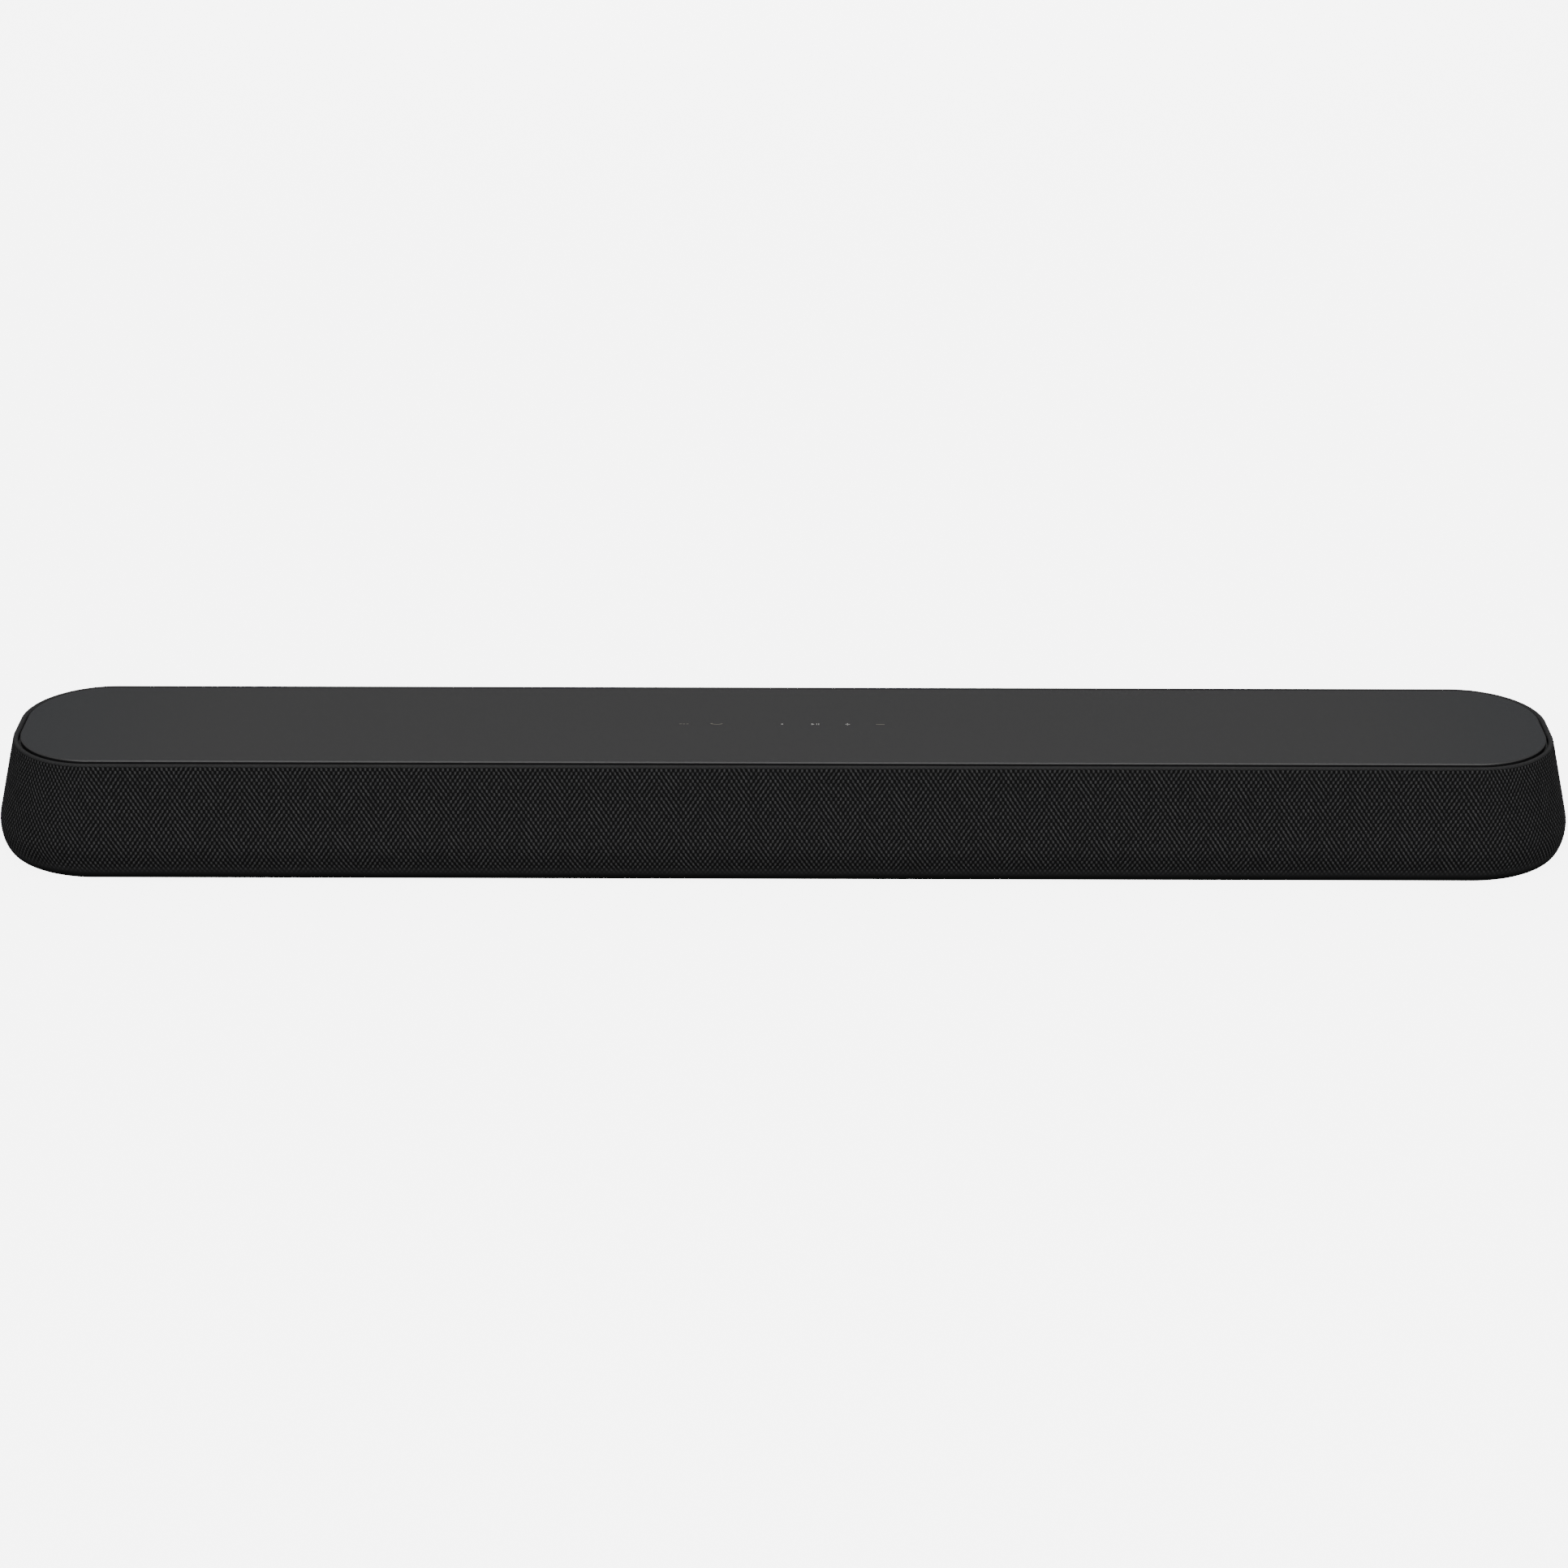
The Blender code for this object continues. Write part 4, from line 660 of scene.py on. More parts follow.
class PlateSettings(bpy.types.PropertyGroup):
    edge: length_setting("Edge", "Width of the plate's softened top edge", 0.0006)
    colour: colour_setting("Colour", "Colour of the plate", (0.0455, 0.0455, 0.0465))
    roughness: bpy.props.FloatProperty(
        name="Roughness", description="How matte the plate is", default=0.6, min=0, max=1, subtype="FACTOR"
    )
    mark_pitch: length_setting("Key pitch", "From one touch key to the next", 0.0177)
    mark_stroke: length_setting("Mark stroke", "Width of a mark's line", 0.00045)
    mark_colour: colour_setting("Mark colour", "Colour of the printed marks", (0.5, 0.49, 0.47))
    dim_colour: colour_setting("Dim mark colour", "Colour of the fainter printed marks", (0.22, 0.21, 0.17))


class StageSettings(bpy.types.PropertyGroup):
    floor: colour_setting("Floor", "Colour of the floor", (0.86, 0.86, 0.86))
    glow: bpy.props.FloatProperty(
        name="Glow", description="How bright the plain backdrop is", default=6.0, min=0
    )
    elevation: angle_setting("Elevation", "How far the camera looks down", 25.626)
    yaw: angle_setting("Yaw", "How far the camera stands to the right", 0.12)
    roll: angle_setting("Roll", "How far the camera leans", 0.093)
    distance: length_setting("Distance", "From the camera to the bar's middle", 1.897755)
    lens: bpy.props.FloatProperty(name="Lens", description="Focal length in millimetres", default=79.924)


# ---- the knit skin
KNIT_TWILL = 0.52
TWILL_DRIFT = 0.10
TWILL_TIMES = (11, 4, 23)
TWILL_SLOPES = (0.31, 0.53, 0.17)
TWILL_RIPPLE = 0.7
FOLD_ROWS = 2.6
FOLD_FADE = 0.5
FOLD_TONE = 0.5
TURN_ROWS = (5.0, 8.5)
# Rows over which the knit's colour darkens towards the bottom turn, as painted shade.
PAINTED_TURN_SHADE = (3.8, 7.2)
STITCH_WANDER = 0.09
ROW_WANDER = 0.10
WANDER_WAVES = 10
COLUMNS_PER_STITCH = 4
ROWS_PER_STITCH = 2
PANELS = ("front", "right", "rear", "left")
LOOP_SIZES = (0.7, 1.15)
LOOP_DATUM = 0.25
THREAD_HEIGHTS = (-0.25, 0.75)
FOLD_RELIEF, TURN_RELIEF = 0.05, 0.15
BEZEL_COVER = 0.0012
BEZEL_PRESS = 0.001
PRESSED_DEPTH = 0.3


def loop_height(across, up, quarter, sine, cosine):
    """How high the knit stands, from -1 to 1, where rows of loops rise and fall across each other.

    Which of the two stands out drifts slowly, and comes back to the same after a quarter of the girth.
    """
    slow, slower, quick = (FULL_TURN * times / quarter for times in TWILL_TIMES)
    rise, fall, climb = TWILL_SLOPES
    drift = sine(slow * across + rise * up) * sine(slower * across - fall * up)
    twill = KNIT_TWILL + TWILL_DRIFT * (drift + TWILL_RIPPLE * sine(quick * across + climb * up))
    rising = cosine(FULL_TURN * (across + 0.5 * up))
    falling = cosine(FULL_TURN * (across - 0.5 * up))
    return twill * rising + (1 - twill) * falling


class SkinShape:
    """The skin's surface: where a point is, with its relief, given how far round and how far up it lies."""

    def __init__(self, settings):
        self.plan, self.plan_out = plan_line()
        self.plan_run = run_length(self.plan)
        self.side = skin_line()
        self.side_run = run_length(self.side)
        self.girth = self.plan_run[-1]
        self.height = self.side_run[-1]
        self.quarter = round(self.girth / settings.stitch / len(PANELS))
        self.round = len(PANELS) * self.quarter
        self.rows = round(self.height / settings.row)
        self.relief = settings.relief
        draw = np.random.RandomState(7)
        self.loop_size = draw.uniform(*LOOP_SIZES, (self.rows + 3, self.round))
        self.waves = [
            (draw.randint(3, 40), draw.uniform(0.2, 0.9), draw.uniform(0, FULL_TURN))
            for _ in range(WANDER_WAVES)
        ]

    def wander(self, across, up, first):
        """A slow, smooth drift of the stitches, which closes up after one turn."""
        total = np.zeros_like(across)
        for times, slope, shift in self.waves[first::2]:
            total += np.sin(FULL_TURN * times * across / self.round + slope * up + shift)
        return 2 * total / WANDER_WAVES

    def loop_scale(self, across, up):
        """Each loop's own size, blended with its neighbours'."""
        up = np.clip(up, 0, self.rows)
        column, row = np.floor(across).astype(int), np.floor(up).astype(int)
        share_x, share_y = across - column, up - row
        return sum(
            weight_x * weight_y * self.loop_size[row + j, (column + i) % self.round]
            for i, weight_x in enumerate((1 - share_x, share_x))
            for j, weight_y in enumerate((1 - share_y, share_y))
        )

    def surface(self, across, up):
        """Places with relief, and the stitch coordinates, for arrays of stitches round and rows up."""
        run = (across / self.round * self.girth) % self.girth
        x, y = on_line(run, self.plan_run, self.plan)
        out_x, out_y = on_line(run, self.plan_run, self.plan_out)
        size = np.hypot(out_x, out_y)
        climb = up / self.rows * self.height
        step = self.height / self.rows / 4
        inset, z = on_line(climb, self.side_run, self.side)
        before, after = (on_line(climb + way * step, self.side_run, self.side) for way in (-1, 1))
        inset_slope, z_slope = np.subtract(after, before)
        slope = np.hypot(inset_slope, z_slope)

        stitch = across + STITCH_WANDER * self.wander(across, up, 0)
        row = up + ROW_WANDER * self.wander(across, up, 1)
        # The material counts its stitches from a panel's own start, half a quarter before its middle.
        height = loop_height(stitch + self.quarter // 2, row, self.quarter, np.sin, np.cos)
        fade = np.clip((self.rows - FOLD_ROWS + FOLD_FADE - up) / FOLD_FADE, FOLD_RELIEF, 1)
        fade = fade * np.clip((up - PAINTED_TURN_SHADE[0]) / (TURN_ROWS[1] - PAINTED_TURN_SHADE[0]), TURN_RELIEF, 1)
        lift = self.relief * (height * self.loop_scale(across, up) - LOOP_DATUM) * fade
        beside = np.abs(x) < BAY_HIGH.x + BEZEL_PRESS
        level = np.abs(z - BAY_MIDDLE) < BAY_REACH + BEZEL_PRESS
        lift = np.where((y > 0) & beside & level, -self.relief * PRESSED_DEPTH, lift)
        outset = (lift * z_slope / slope - inset) / size
        rise = lift * inset_slope / slope
        places = np.stack((x + outset * out_x, y + outset * out_y, z + rise), axis=-1)
        return places, np.stack((stitch, row), axis=-1)


def knit_panel(name, shape, first):
    """One quarter of the sleeve's girth: a flat grid, wrapped round the frame stitch by stitch."""
    columns, rows = shape.quarter * COLUMNS_PER_STITCH, shape.rows * ROWS_PER_STITCH
    panel = start(name, "grid", x_subdivisions=columns, y_subdivisions=rows, size=1, calc_uvs=True)
    mesh = panel.data
    flat = np.empty(len(mesh.vertices) * 3, np.float32)
    mesh.vertices.foreach_get("co", flat)
    column, row = (np.rint((flat[i::3] + 0.5) * count).astype(int) for i, count in ((0, columns), (1, rows)))

    across = first + np.arange(-1, columns + 2) / COLUMNS_PER_STITCH
    up = np.clip(np.arange(-1, rows + 2) / ROWS_PER_STITCH, 0, shape.rows)
    places, stitch = shape.surface(*np.meshgrid(across, up, indexing="ij"))
    normals = np.cross(places[2:, 1:-1] - places[:-2, 1:-1], places[1:-1, 2:] - places[1:-1, :-2])
    normals /= np.linalg.norm(normals, axis=-1, keepdims=True)
    put_vertices(panel, places[column + 1, row + 1])

    corner = np.empty(len(mesh.loops), np.int32)
    mesh.loops.foreach_get("vertex_index", corner)
    mesh.uv_layers[0].name = "stitches"
    coordinates = stitch[column[corner] + 1, row[corner] + 1] - (first, 0)
    mesh.uv_layers["stitches"].data.foreach_set("uv", coordinates.astype(np.float32).ravel())
    lone(panel)
    bpy.ops.object.shade_smooth()
    mesh.normals_split_custom_set_from_vertices(normals[column, row].tolist())
    mesh.update()
    return panel


def open_bay(panel):
    """Cuts the bay's opening out of the rear panel, its edge hidden under the bezel. Gives its area."""
    half, reach = BAY_HIGH.x - BEZEL_COVER, BAY_REACH - BEZEL_COVER

    def inside(middle, _):
        return middle.y > 0 and abs(middle.x) < half and abs(middle.z - BAY_MIDDLE) < reach

    with editing(panel, inside):
        bpy.ops.mesh.delete(type="FACE")
    return 4 * half * reach


class SOUNDBAR_OT_knit_skin(bpy.types.Operator):
    """Wraps the knit skin round the frame"""

    bl_idname = "soundbar.knit_skin"
    bl_label = "Knit skin"

    def execute(self, context):
        settings = context.scene.soundbar_knit
        shape = SkinShape(settings)
        material = knit_finish(settings, shape)
        flat = (shape.girth / len(PANELS), shape.height)
        for i, side in enumerate(PANELS):
            panel = knit_panel(f"knit_{side}", shape, shape.quarter * i - shape.quarter // 2)
            area = flat[0] * flat[1]
            if side == "rear":
                area -= open_bay(panel)
            finish_piece(panel, "fabric_knit", material)
            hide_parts("fabric_sleeve")
        return {"FINISHED"}


# ---- the touch plate
PLATE_GRAIN = 0.00028
PLATE_END_TINT = (0.86, 0.9, 0.95)
PLATE_END = 0.7
EDGE_SLOPES = (0.3, 0.95)
EDGE_EASE = 1 / 6
EASED_TURN = math.radians(30)
MARK_RISE = 0.00005
ROUND_END = 0.49
SLIVER = 0.00001
SWEEP_STEPS = 18
MARKS_SHIFT = -0.0005
MARKS_FORWARD = 0.0022
LIST_DASH = 0.0013
LIST_PITCH = 0.0019
RETURN_RADIUS = 0.0050
RETURN_TURNS = (-2.2, -0.88)
RETURN_MIDDLE = 0.0045
RETURN_TIP = (-0.0028, 0.0004, 0.0009)
LIGHT_RADIUS = 0.0006
PLAY_TIP = (-0.0013, 0.0, 0.0012)
PAUSE_BARS = (0.0010, 0.0021)
PAUSE_HEIGHT = 0.0018
LESS_WIDTH = 0.0048
MORE_WIDTH = 0.0026
MORE_STROKE = 1.2


class SOUNDBAR_OT_top_plate(bpy.types.Operator):
    """Makes the plate on top, with its fine rounded edge"""

    bl_idname = "soundbar.top_plate"
    bl_label = "Top plate"

    def execute(self, context):
        settings = context.scene.soundbar_plate
        places, directions = plan_line()
        ring = (places - PLATE_INSET * directions)[1:-1]
        plate = start("touch_plate", "circle", vertices=len(ring), radius=1, fill_type="NGON")
        put_vertices(plate, np.insert(ring, 2, PLATE_LOW.z, axis=1))
        with editing(plate):
            rise = (0, 0, PLATE_HIGH.z - PLATE_LOW.z)
            bpy.ops.mesh.extrude_region_move(TRANSFORM_OT_translate={"value": rise})
        outwards(plate)
        bevel_edges(plate, settings.edge, 1, lambda middle, _: middle.z > PLATE_HIGH.z - TOUCHING)
        finish_piece(plate, "plate_plastic", plate_finish(settings))
        steep, level = EDGE_SLOPES
        paint_faces(plate, edge_finish(settings), lambda face: steep < face.normal.z < level)
        # The plate's upright sides take the near-black plastic: painted shade for the shadowed gap under its
        # edge.
        paint_faces(plate, finish_of("black_plastic"), lambda face: face.normal.z < steep)
        round_edges(plate, settings.edge * EDGE_EASE, turn=EASED_TURN)
        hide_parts("top_plate")
        return {"FINISHED"}


def mark_block(low, high):
    """A flat block on the plate between two corners (x, y)."""
    return block("mark", (*low, PLATE_HIGH.z), (*high, PLATE_HIGH.z + MARK_RISE))


def dash(x, y, width, height):
    """A flat mark with round ends."""
    bar = mark_block((x - width / 2, y - height / 2), (x + width / 2, y + height / 2))
    bevel_edges(bar, min(width, height) * ROUND_END, 4, lambda _, along: abs(along.z) > MARK_RISE / 2)
    return bar


def sweep(x, y, radius, stroke, start_turn, end_turn):
    """A flat arc, spun from its first end to its last."""
    bow = mark_block((x + radius - stroke / 2, y - SLIVER), (x + radius + stroke / 2, y))
    with editing(bow, lambda _, normal: normal.y > SQUARE_ON):
        bpy.ops.mesh.spin(
            steps=SWEEP_STEPS, angle=start_turn - end_turn, center=(x, y, PLATE_HIGH.z), axis=(0, 0, 1),
            use_normal_flip=False,
        )
    turn = Matrix.Rotation(start_turn, 4, "Z")
    bow.data.transform(Matrix.Translation((x, y, 0)) @ turn @ Matrix.Translation((-x, -y, 0)))
    outwards(bow)
    return bow


def even_mark(x, y, radius, corners, direction=1):
    """A flat mark with even sides: a dot, or a triangle that points along X or back along it."""
    return settle(start(
        "mark", "cylinder", vertices=corners, radius=radius, depth=MARK_RISE,
        location=(x, y, PLATE_HIGH.z + MARK_RISE / 2), rotation=(0, 0, -direction * QUARTER_TURN),
    ))


class SOUNDBAR_OT_touch_marks(bpy.types.Operator):
    """Prints the touch keys' plain marks on the plate"""

    bl_idname = "soundbar.touch_marks"
    bl_label = "Touch marks"

    def execute(self, context):
        settings = context.scene.soundbar_plate
        stroke = settings.mark_stroke
        y = middle_of("touch_board").y - MARKS_FORWARD
        keys = [MARKS_SHIFT + settings.mark_pitch * i for i in range(-3, 4)]
        menu, source, light, play, more, less = (keys[i] for i in (0, 1, 3, 4, 5, 6))

        faint = [dash(menu + LIST_PITCH * i, y, LIST_DASH, stroke) for i in (-1, 0, 1)]
        faint.append(sweep(source, y + RETURN_MIDDLE, RETURN_RADIUS, stroke, *RETURN_TURNS))
        along, back, size = RETURN_TIP
        faint.append(even_mark(source + along, y + back, size, 3, -1))
        faint.append(dash(less, y, LESS_WIDTH, stroke))

        along, back, size = PLAY_TIP
        strong = [even_mark(light, y, LIGHT_RADIUS, 24), even_mark(play + along, y + back, size, 3)]
        strong += [dash(play + bar, y, stroke, PAUSE_HEIGHT) for bar in PAUSE_BARS]
        strong.append(dash(more, y, MORE_WIDTH, stroke * MORE_STROKE))
        strong.append(dash(more, y, stroke * MORE_STROKE, MORE_WIDTH))

        for name, marks, colour in (
            ("touch_marks", strong, settings.mark_colour),
            ("touch_marks_dim", faint, settings.dim_colour),
        ):
            finish_piece(joined(name, marks), None, print_finish(name, colour))
        return {"FINISHED"}


# ---- the rear bay and its sockets
BAY_ROUND, SHELL_ROUND, MOULD_ROUND = 0.0003, 0.0002, 0.0004
CONTACT_RISE = 0.00006
SHELL_SIDE, SHELL_FLOOR = 0.0006, 0.0008
TONGUE_FRONT, TONGUE_BACK = 0.0020, 0.0014
TONGUE_CLEAR = 0.0002
CORNER_RUN, CORNER_RISE = 0.0022, 0.0016
CORNER_FRONT, CORNER_BACK = 0.0020, 0.0002
PIN_SHIFT, PIN_REACH, PIN_DEEP = 0.0043, 0.00135, 0.0035
# Each board socket's tongue as (width, height, rise), and its contacts as rows of (count, pitch, width,
# side), where the side is 1 over the tongue and -1 under it.
SOCKETS = {
    "hdmi_socket": ((0.0104, 0.0012, 0.0), ((10, 0.0010, 0.00045, 1), (9, 0.0010, 0.00045, -1))),
    "usb_socket": ((0.0110, 0.0018, 0.0008), ((4, 0.0022, 0.0010, -1),)),
}


def contact_row(count, pitch, width, x, near, far, z, side):
    """Gold contacts side by side on a tongue, each a thin strip that runs in from its front."""
    low, high = sorted((z, z + side * CONTACT_RISE))
    middles = [x + pitch * (i - (count - 1) / 2) for i in range(count)]
    return [block("contact", (m - width / 2, near, low), (m + width / 2, far, high)) for m in middles]


def wedge(x, z, run, rise, near, far):
    """A three-cornered bar along Y that fills a corner: its run along X and rise along Z may be negative."""
    bar = block("corner", (0, near, 0), (1, far, 1))
    for vertex in bar.data.vertices:
        along, up = vertex.co.x, vertex.co.z
        vertex.co.x = x + run * along * (1 - up)
        vertex.co.z = z + rise * up * (1 - along)
    outwards(bar)
    return bar


def corner_fills(node):
    """The slanted lower corners inside an HDMI socket's mouth."""
    low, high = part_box(node)
    middle = middle_of(node).x
    span = high.x - SHELL_SIDE - middle
    depth = (low.y + CORNER_FRONT, high.y - CORNER_BACK)
    fills = [
        wedge(middle - side * span, low.z + SHELL_FLOOR, side * CORNER_RUN, CORNER_RISE, *depth)
        for side in (-1, 1)
    ]
    finish_piece(joined(f"{node}_corners", fills), "socket_metal")


def board_socket(node, tongue, rows):
    """A socket with its shell's edges rounded, a dark tongue and gold contacts."""
    low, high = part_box(node)
    x, _, z = middle_of(node)
    near, far = low.y + TONGUE_FRONT, high.y - TONGUE_BACK
    width, height, rise = tongue
    level = z + rise
    first = (x - width / 2 - TONGUE_CLEAR, near - 2 * TONGUE_CLEAR, level - height / 2 - TONGUE_CLEAR)
    last = (x + width / 2 + TONGUE_CLEAR, high.y, level + height / 2 + TONGUE_CLEAR)

    def on_tongue(face):
        return all(a <= part <= b for a, part, b in zip(first, face.center, last))

    paint_faces(fine_copy(node, SHELL_ROUND), finish_of("black_plastic"), on_tongue)
    strips = []
    for count, pitch, strip, side in rows:
        strips += contact_row(count, pitch, strip, x, near, far, level + side * height / 2, side)
    finish_piece(joined(f"{node}_contacts", strips), "socket_metal", finish_of("gold"))


def mains_inlet(node):
    """The inlet, with its two metal pins."""
    x, _, z = middle_of(node)
    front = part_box(node)[0].y

    def on_pin(face):
        near_pin = math.hypot(abs(face.center.x - x) - PIN_SHIFT, face.center.z - z) < PIN_REACH
        return near_pin and face.center.y > front + PIN_DEEP

    paint_faces(fine_copy(node, MOULD_ROUND), finish_of("socket_metal"), on_pin)


class SOUNDBAR_OT_rear_bay(bpy.types.Operator):
    """Finishes the rear bay and the sockets in it"""

    bl_idname = "soundbar.rear_bay"
    bl_label = "Rear bay"

    def execute(self, context):
        fine_copy("rear_bay", BAY_ROUND, 3)
        for node, (tongue, rows) in SOCKETS.items():
            board_socket(node, tongue, rows)
        corner_fills("hdmi_socket")
        fine_copy("optical_socket", MOULD_ROUND)
        mains_inlet("ac_inlet")
        return {"FINISHED"}


# ---- feet, inserts and screws
FOOT_ROUND, SCREW_ROUND, INSERT_ROUND = 0.00025, 0.00015, 0.0002
FOOT_TURN = math.radians(50)
FOOT_CORNER = 0.0020
GROOVE_WIDTH = 0.0011
GROOVE_PITCH = 3 * GROOVE_WIDTH
GROOVE_DEPTH = 0.0005
CROSS_WIDTH = 0.0006
CROSS_REACH = 0.0014
CROSS_DEPTH = 0.0008
CUT_MARGIN = 0.001


def grooved_foot(node):
    """A rubber pad with round corners and grooves across its sole."""
    low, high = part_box(node)
    foot = block(f"fine_{node}", low, high)
    bevel_edges(foot, FOOT_CORNER, 5, lambda _, along: abs(along.z) > (high.z - low.z) / 2)
    length = high.x - low.x
    count = int(length / GROOVE_PITCH)
    for i in range(1, count):
        left = low.x + length / count * i - GROOVE_WIDTH / 2
        front = (left, low.y - CUT_MARGIN, -CUT_MARGIN)
        carve(foot, block("groove", front, (left + GROOVE_WIDTH, high.y + CUT_MARGIN, GROOVE_DEPTH)))
    round_edges(foot, FOOT_ROUND, turn=FOOT_TURN)
    finish_piece(foot, "rubber")
    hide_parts(node)


def crossed_screw(node, way):
    """A screw with a cross recess in its head, which faces up or down."""
    x, y, _ = middle_of(node)
    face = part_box(node)[way > 0].z
    bottom, top = sorted((face - way * CROSS_DEPTH, face + way * CUT_MARGIN))
    screw = fine_copy(node, SCREW_ROUND)
    for reach_x, reach_y in ((CROSS_REACH, CROSS_WIDTH / 2), (CROSS_WIDTH / 2, CROSS_REACH)):
        carve(screw, block("cross", (x - reach_x, y - reach_y, bottom), (x + reach_x, y + reach_y, top)))
    smooth(screw)


class SOUNDBAR_OT_underside(bpy.types.Operator):
    """Finishes the feet, the bracket inserts and the screws"""

    bl_idname = "soundbar.underside"
    bl_label = "Underside"

    def execute(self, context):
        for i in range(1, 5):
            grooved_foot(f"foot_{i}")
            crossed_screw(f"base_screw_{i}", -1)
            crossed_screw(f"deck_screw_{i}", 1)
        for side in ("left", "right"):
            fine_copy(f"{side}_bracket_insert", INSERT_ROUND)
        return {"FINISHED"}


# ---- drivers and radiators
RACETRACK_SIDES = 16
TURNED_SIDES = 18
# The edge rounding and the sides of the rings of each stiff piece of a driver or radiator.
DRIVER_PIECES = {
    "cone": (0.0, RACETRACK_SIDES),
    "coil": (0.0, TURNED_SIDES),
    "basket": (0.0002, RACETRACK_SIDES),
    "magnet": (0.0004, TURNED_SIDES),
}
RADIATOR_PIECES = {"plate": (0.0003, RACETRACK_SIDES), "frame": (0.0002, RACETRACK_SIDES)}
GLUE_REACH = 0.0008
GLUED_SHARE = 0.97
RING_CUTS = 3
LEAST_STRAIGHT = 0.001
ON_RING = 0.01


def spine_of(node):
    """A racetrack's middle in the X-Z plane, and half the length of its straight, which a circle lacks."""
    low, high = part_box(node)
    straight = (high.x - low.x - (high.z - low.z)) / 2
    x, _, z = middle_of(node)
    return x, z, straight if straight > LEAST_STRAIGHT else 0.0


def from_spine(places, spine):
    """The ways to places from the nearest point of a racetrack's spine, in the X-Z plane."""
    x, z, straight = spine
    across = places[:, 0] - x
    return np.stack((across - np.clip(across, -straight, straight), places[:, 2] - z), axis=-1)


def round_rings(piece, node, sides):
    """Adds points along the straight sides of a piece's rings, and moves them out to the arc."""
    spine = spine_of(node)
    half_step = math.pi / sides

    def on_ring(middle, along):
        way = Vector(from_spine(np.array([middle]), spine)[0])
        chord = 2 * way.length * math.tan(half_step)
        square = abs(along.xz.dot(way)) < ON_RING * way.length * along.length
        return square and abs(along.y) < TOUCHING and abs(along.length - chord) < ON_RING * chord

    first = len(piece.data.vertices)
    with editing(piece, edges=on_ring):
        bpy.ops.mesh.subdivide(number_cuts=RING_CUTS)
    places = vertex_places(piece)
    ways = from_spine(places, spine)
    turned = np.arctan2(ways[:, 1], ways[:, 0]) % (2 * half_step) - half_step
    growth = np.cos(turned) / math.cos(half_step) - 1
    growth[:first] = 0
    places[:, (0, 2)] += ways * growth[:, None]
    put_vertices(piece, places)
    smooth(piece)


def flexing(node, sides):
    """A surround or spider, its outer lip on the cabinet and its inner lip on the cone, riding on neither.

    Its inner lip reaches in a little, over the edge that it is glued to.
    """
    piece = fine_copy(node, rides=False)
    round_rings(piece, node, sides)
    places = vertex_places(piece)
    ways = from_spine(places, spine_of(node))
    reach = np.linalg.norm(ways, axis=-1)
    share = (reach.max() - reach) / (reach.max() - reach.min())
    inward = (share > GLUED_SHARE) * GLUE_REACH / reach
    places[:, (0, 2)] -= ways * inward[:, None]
    put_vertices(piece, places)
    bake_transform(piece)


def stiff_pieces(name, pieces):
    """The stiff pieces of a driver or radiator, their rings rounded first and then their edges."""
    for kind, (edge, sides) in pieces.items():
        piece = fine_copy(f"{name}_{kind}")
        round_rings(piece, f"{name}_{kind}", sides)
        if edge:
            round_edges(piece, edge)


class SOUNDBAR_OT_drivers(bpy.types.Operator):
    """Smooths the drivers and radiators, and rounds the rings of their surrounds and spiders"""

    bl_idname = "soundbar.drivers"
    bl_label = "Drivers"

    def execute(self, context):
        for name in ("left_woofer", "centre_driver", "right_woofer"):
            flexing(f"{name}_surround", RACETRACK_SIDES)
            flexing(f"{name}_spider", TURNED_SIDES)
            stiff_pieces(name, DRIVER_PIECES)
        for name in ("left_radiator", "right_radiator"):
            flexing(f"{name}_surround", RACETRACK_SIDES)
            stiff_pieces(name, RADIATOR_PIECES)
        return {"FINISHED"}


# ---- boards and what stands on them
CHIP_RISE = 0.0012
LEG_PITCH = 0.0008
LEG_REACH = 0.0009
LEG_WIDTH, LEG_RISE = 0.4 * LEG_PITCH, CHIP_RISE / 3
SMALL_PART = (0.0016, 0.0009, 0.0006)
CHIP_ROUND, SMALL_ROUND = 0.0002, 0.0001
WINDING_REACH = 0.0027
# The rounding of each part that stands on a board, and its segments.
BOARD_PARTS = {
    "filter_capacitor": (0.0008, 3),
    "transformer": (0.0004, 2),
    "heat_sink": (0.0002, 2),
    "wireless_module": (0.0004, 2),
}
# Each board, whether it stands upright, its chips as (x, along, width, length), and its rows of small
# parts as (x, along, count, pitch). Along is Z on an upright board and Y on a flat one.
BOARDS = (
    (
        "main_board", True,
        ((0.006, 0.030, 0.012, 0.012), (0.024, 0.036, 0.009, 0.006), (0.023, 0.020, 0.006, 0.010)),
        ((-0.004, 0.0405, 7, 0.0030), (0.001, 0.0190, 6, 0.0028), (-0.004, 0.0150, 5, 0.0034)),
    ),
    (
        "power_board", False,
        ((0.106, -0.018, 0.008, 0.012), (0.161, -0.016, 0.008, 0.010)),
        ((0.120, 0.0105, 7, 0.0034), (0.120, 0.0145, 7, 0.0034), (0.155, -0.0260, 4, 0.0032)),
    ),
)


def on_board(board, upright, x, along, size):
    """A block that stands on a board's face, given its size across, along and off the board."""
    low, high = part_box(board)
    width, length, rise = size
    near, far = (low.y - rise, low.y) if upright else (high.z, high.z + rise)
    corners = [(x - width / 2, along - length / 2, near), (x + width / 2, along + length / 2, far)]
    if upright:
        corners = [(a, c, b) for a, b, c in corners]
    return block("chip", *corners)


def chip_legs(board, upright, x, along, width, length):
    """Legs along the two long sides of a chip."""
    count = int(length / LEG_PITCH) - 1
    places = [along + LEG_PITCH * (i - (count - 1) / 2) for i in range(count)]
    size = (LEG_REACH, LEG_WIDTH, LEG_RISE)
    return [
        on_board(board, upright, x + side * (width + LEG_REACH) / 2, place, size)
        for side in (-1, 1) for place in places
    ]


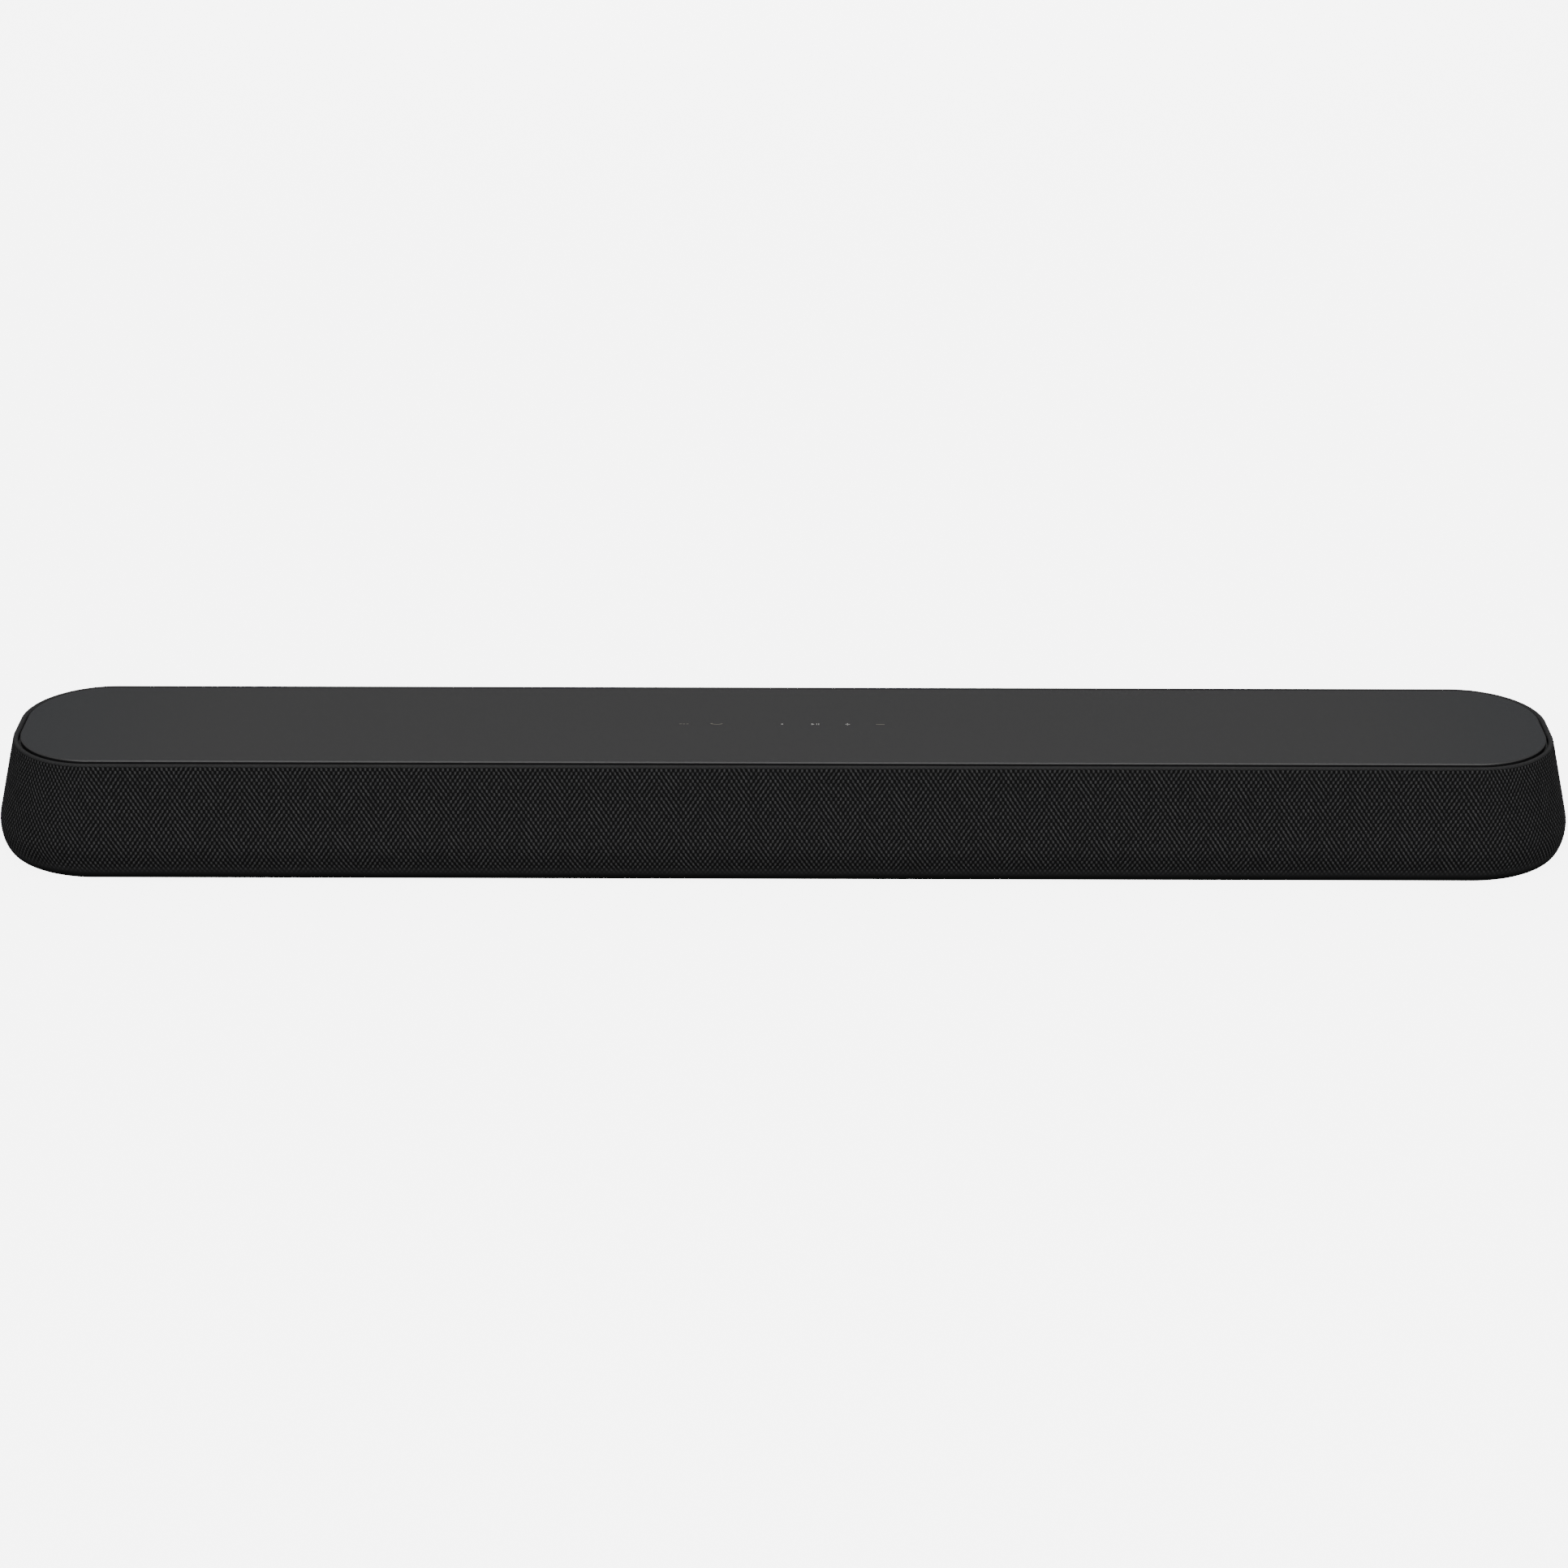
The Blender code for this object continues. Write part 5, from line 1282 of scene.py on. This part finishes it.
def board_pieces(board, upright, chips, rows):
    """A board's chips, their legs and its small parts, each kind as one piece."""
    bodies = [on_board(board, upright, *chip[:2], (*chip[2:], CHIP_RISE)) for chip in chips]
    legs = [leg for chip in chips for leg in chip_legs(board, upright, *chip)]
    small = [
        on_board(board, upright, x + pitch * i, along, SMALL_PART)
        for x, along, count, pitch in rows for i in range(count)
    ]
    round_edges(finish_piece(joined(f"{board}_chips", bodies), "black_plastic"), CHIP_ROUND)
    finish_piece(joined(f"{board}_chip_legs", legs), "socket_metal")
    ceramic = finish_piece(joined(f"{board}_small_parts", small), None, finish_of("ceramic"))
    round_edges(ceramic, SMALL_ROUND)


class SOUNDBAR_OT_electronics(bpy.types.Operator):
    """Finishes the boards' chips, the transformer, the capacitor, the heat sink and the radio"""

    bl_idname = "soundbar.electronics"
    bl_label = "Electronics"

    def execute(self, context):
        for board in BOARDS:
            board_pieces(*board)
        parts = {node: fine_copy(node, *rounding) for node, rounding in BOARD_PARTS.items()}
        can, transformer = parts["filter_capacitor"], parts["transformer"]
        paint_faces(can, finish_of("aluminium"), lambda face: face.normal.z > SQUARE_ON)
        low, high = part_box("transformer")
        first, last = low.x + WINDING_REACH, high.x - WINDING_REACH
        tape = finish_of("winding_tape")
        paint_faces(transformer, tape, lambda face: not first < face.center.x < last)
        return {"FINISHED"}


# ---- everything the frame already shapes
class SOUNDBAR_OT_carried_nodes(bpy.types.Operator):
    """Gives the nodes that keep their own shape their finishes"""

    bl_idname = "soundbar.carried_nodes"
    bl_label = "Carried parts"

    def execute(self, context):
        for name, node in frame["nodes"].items():
            if not node.hide_render:
                node.data.materials.clear()
                node.data.materials.append(finish_of(SLOT_OF[name]))
        return {"FINISHED"}


# ---- floor, light and camera
BACKDROP_RADIUS = 18.0
FLOOR_GAP = 0.0002
SKY_LEVELS = (-0.35, 0.9)
SKY_STRENGTHS = (0.12, 0.42)
BACKDROP_EXTRA = 0.5
BLACK, WHITE = (0.0, 0.0, 0.0), (1.0, 1.0, 1.0, 1.0)
BAR_MIDDLE = Vector((0.000556, 0.0, 0.03049))
# Each light's name, place, height that it aims at over the origin, size and power.
LIGHTS = (
    ("overhead", (0.0, -0.72, 1.45), 0.0, (2.4, 0.4), 8.0),
    ("front", (0.0, -2.4, 1.1), 0.03, (2.6, 0.8), 17.0),
    ("rear", (0.0, 1.9, 2.0), 0.03, (2.6, 0.8), 9.0),
    ("rear_low", (0.0, 2.2, 0.45), 0.03, (1.6, 0.3), 7.0),
)


def set_camera(settings):
    """The camera, turned round a point in the middle of the bar."""
    yaw, rise = settings.yaw, settings.elevation
    back = Vector((math.sin(yaw) * math.cos(rise), -math.cos(yaw) * math.cos(rise), math.sin(rise)))
    right = Matrix.Rotation(settings.roll, 3, back) @ Vector((math.cos(yaw), math.sin(yaw), 0.0))
    camera = linked("camera", bpy.data.cameras.new("camera"))
    turned = Matrix((right, back.cross(right), back)).transposed().to_4x4()
    camera.matrix_world = Matrix.Translation(BAR_MIDDLE + back * settings.distance) @ turned
    camera.data.sensor_width = 36.0
    camera.data.lens = settings.lens
    bpy.context.scene.camera = camera


def soft_light(name, place, aim, size, power):
    """A soft rectangular light."""
    lamp = bpy.data.lights.new(name, "AREA")
    lamp.shape = "RECTANGLE"
    lamp.size, lamp.size_y = size
    lamp.energy = power
    holder = linked(name, lamp)
    holder.location = place
    holder.rotation_euler = (Vector((0, 0, aim)) - Vector(place)).to_track_quat("-Z", "Y").to_euler()
    return holder


def glowing_finish(name, colour, glow):
    """A plain matte surface with its own even light."""
    finish = Finish(name, colour, roughness=0.9, specular_ior_level=0.0)
    finish.feed(emission_color=WHITE, emission_strength=glow)
    return finish.material


def set_sky():
    """An even studio sky, bright above and dim below."""
    world = bpy.data.worlds.new("studio")
    bpy.context.scene.world = world
    world.use_nodes = True
    sky = Nodes(world.node_tree)
    _, _, up = sky.parts(sky.add("ShaderNodeTexCoord", output="Generated"))
    background = world.node_tree.nodes["Background"].inputs
    sky.link(background["Strength"], up.above(*SKY_LEVELS, *SKY_STRENGTHS))
    sky.link(background["Color"], WHITE)


class SOUNDBAR_OT_stage(bpy.types.Operator):
    """Adds the floor, the backdrop, the lights and the camera"""

    bl_idname = "soundbar.stage"
    bl_label = "Stage"

    def execute(self, context):
        settings = context.scene.soundbar_stage
        floor = settle(start("floor", "plane", size=2 * BACKDROP_RADIUS, location=(0, 0, -FLOOR_GAP)))
        backdrop = start("backdrop", "uv_sphere", radius=BACKDROP_RADIUS, segments=48, ring_count=24)
        for piece, colour, extra in ((floor, settings.floor, 0.0), (backdrop, BLACK, BACKDROP_EXTRA)):
            piece.data.materials.append(glowing_finish(piece.name, colour, settings.glow + extra))
            piece.visible_diffuse = piece.visible_glossy = False
        backdrop.visible_shadow = backdrop.visible_transmission = False
        set_sky()
        for light in LIGHTS:
            holder = soft_light(*light)
        # The last light fills the bay, and makes no highlight of its own.
        holder.visible_glossy = False
        set_camera(settings)
        return {"FINISHED"}


# ---- panel and registration
STEPS = (
    SOUNDBAR_OT_stage,
    SOUNDBAR_OT_knit_skin,
    SOUNDBAR_OT_top_plate,
    SOUNDBAR_OT_touch_marks,
    SOUNDBAR_OT_rear_bay,
    SOUNDBAR_OT_underside,
    SOUNDBAR_OT_drivers,
    SOUNDBAR_OT_electronics,
    SOUNDBAR_OT_carried_nodes,
)
SETTINGS = {"soundbar_knit": KnitSettings, "soundbar_plate": PlateSettings, "soundbar_stage": StageSettings}


class SOUNDBAR_PT_panel(bpy.types.Panel):
    """The bar's pieces, and the sizes and colours they are made with"""

    bl_label = "Soundbar"
    bl_idname = "SOUNDBAR_PT_panel"
    bl_space_type = "VIEW_3D"
    bl_region_type = "UI"
    bl_category = "Soundbar"

    def draw(self, context):
        for group, kind in SETTINGS.items():
            box = self.layout.box()
            for name in kind.__annotations__:
                box.prop(getattr(context.scene, group), name)
        for step in STEPS:
            self.layout.operator(step.bl_idname)


def register():
    for kind in (*SETTINGS.values(), *STEPS, SOUNDBAR_PT_panel):
        bpy.utils.register_class(kind)
    for group, kind in SETTINGS.items():
        setattr(bpy.types.Scene, group, bpy.props.PointerProperty(type=kind))


def unregister():
    for group in SETTINGS:
        delattr(bpy.types.Scene, group)
    for kind in (SOUNDBAR_PT_panel, *reversed(STEPS), *SETTINGS.values()):
        bpy.utils.unregister_class(kind)


def main():
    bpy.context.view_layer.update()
    register()
    for step in STEPS:
        group, name = step.bl_idname.split(".")
        getattr(getattr(bpy.ops, group), name)()


if __name__ == "__main__":
    main()
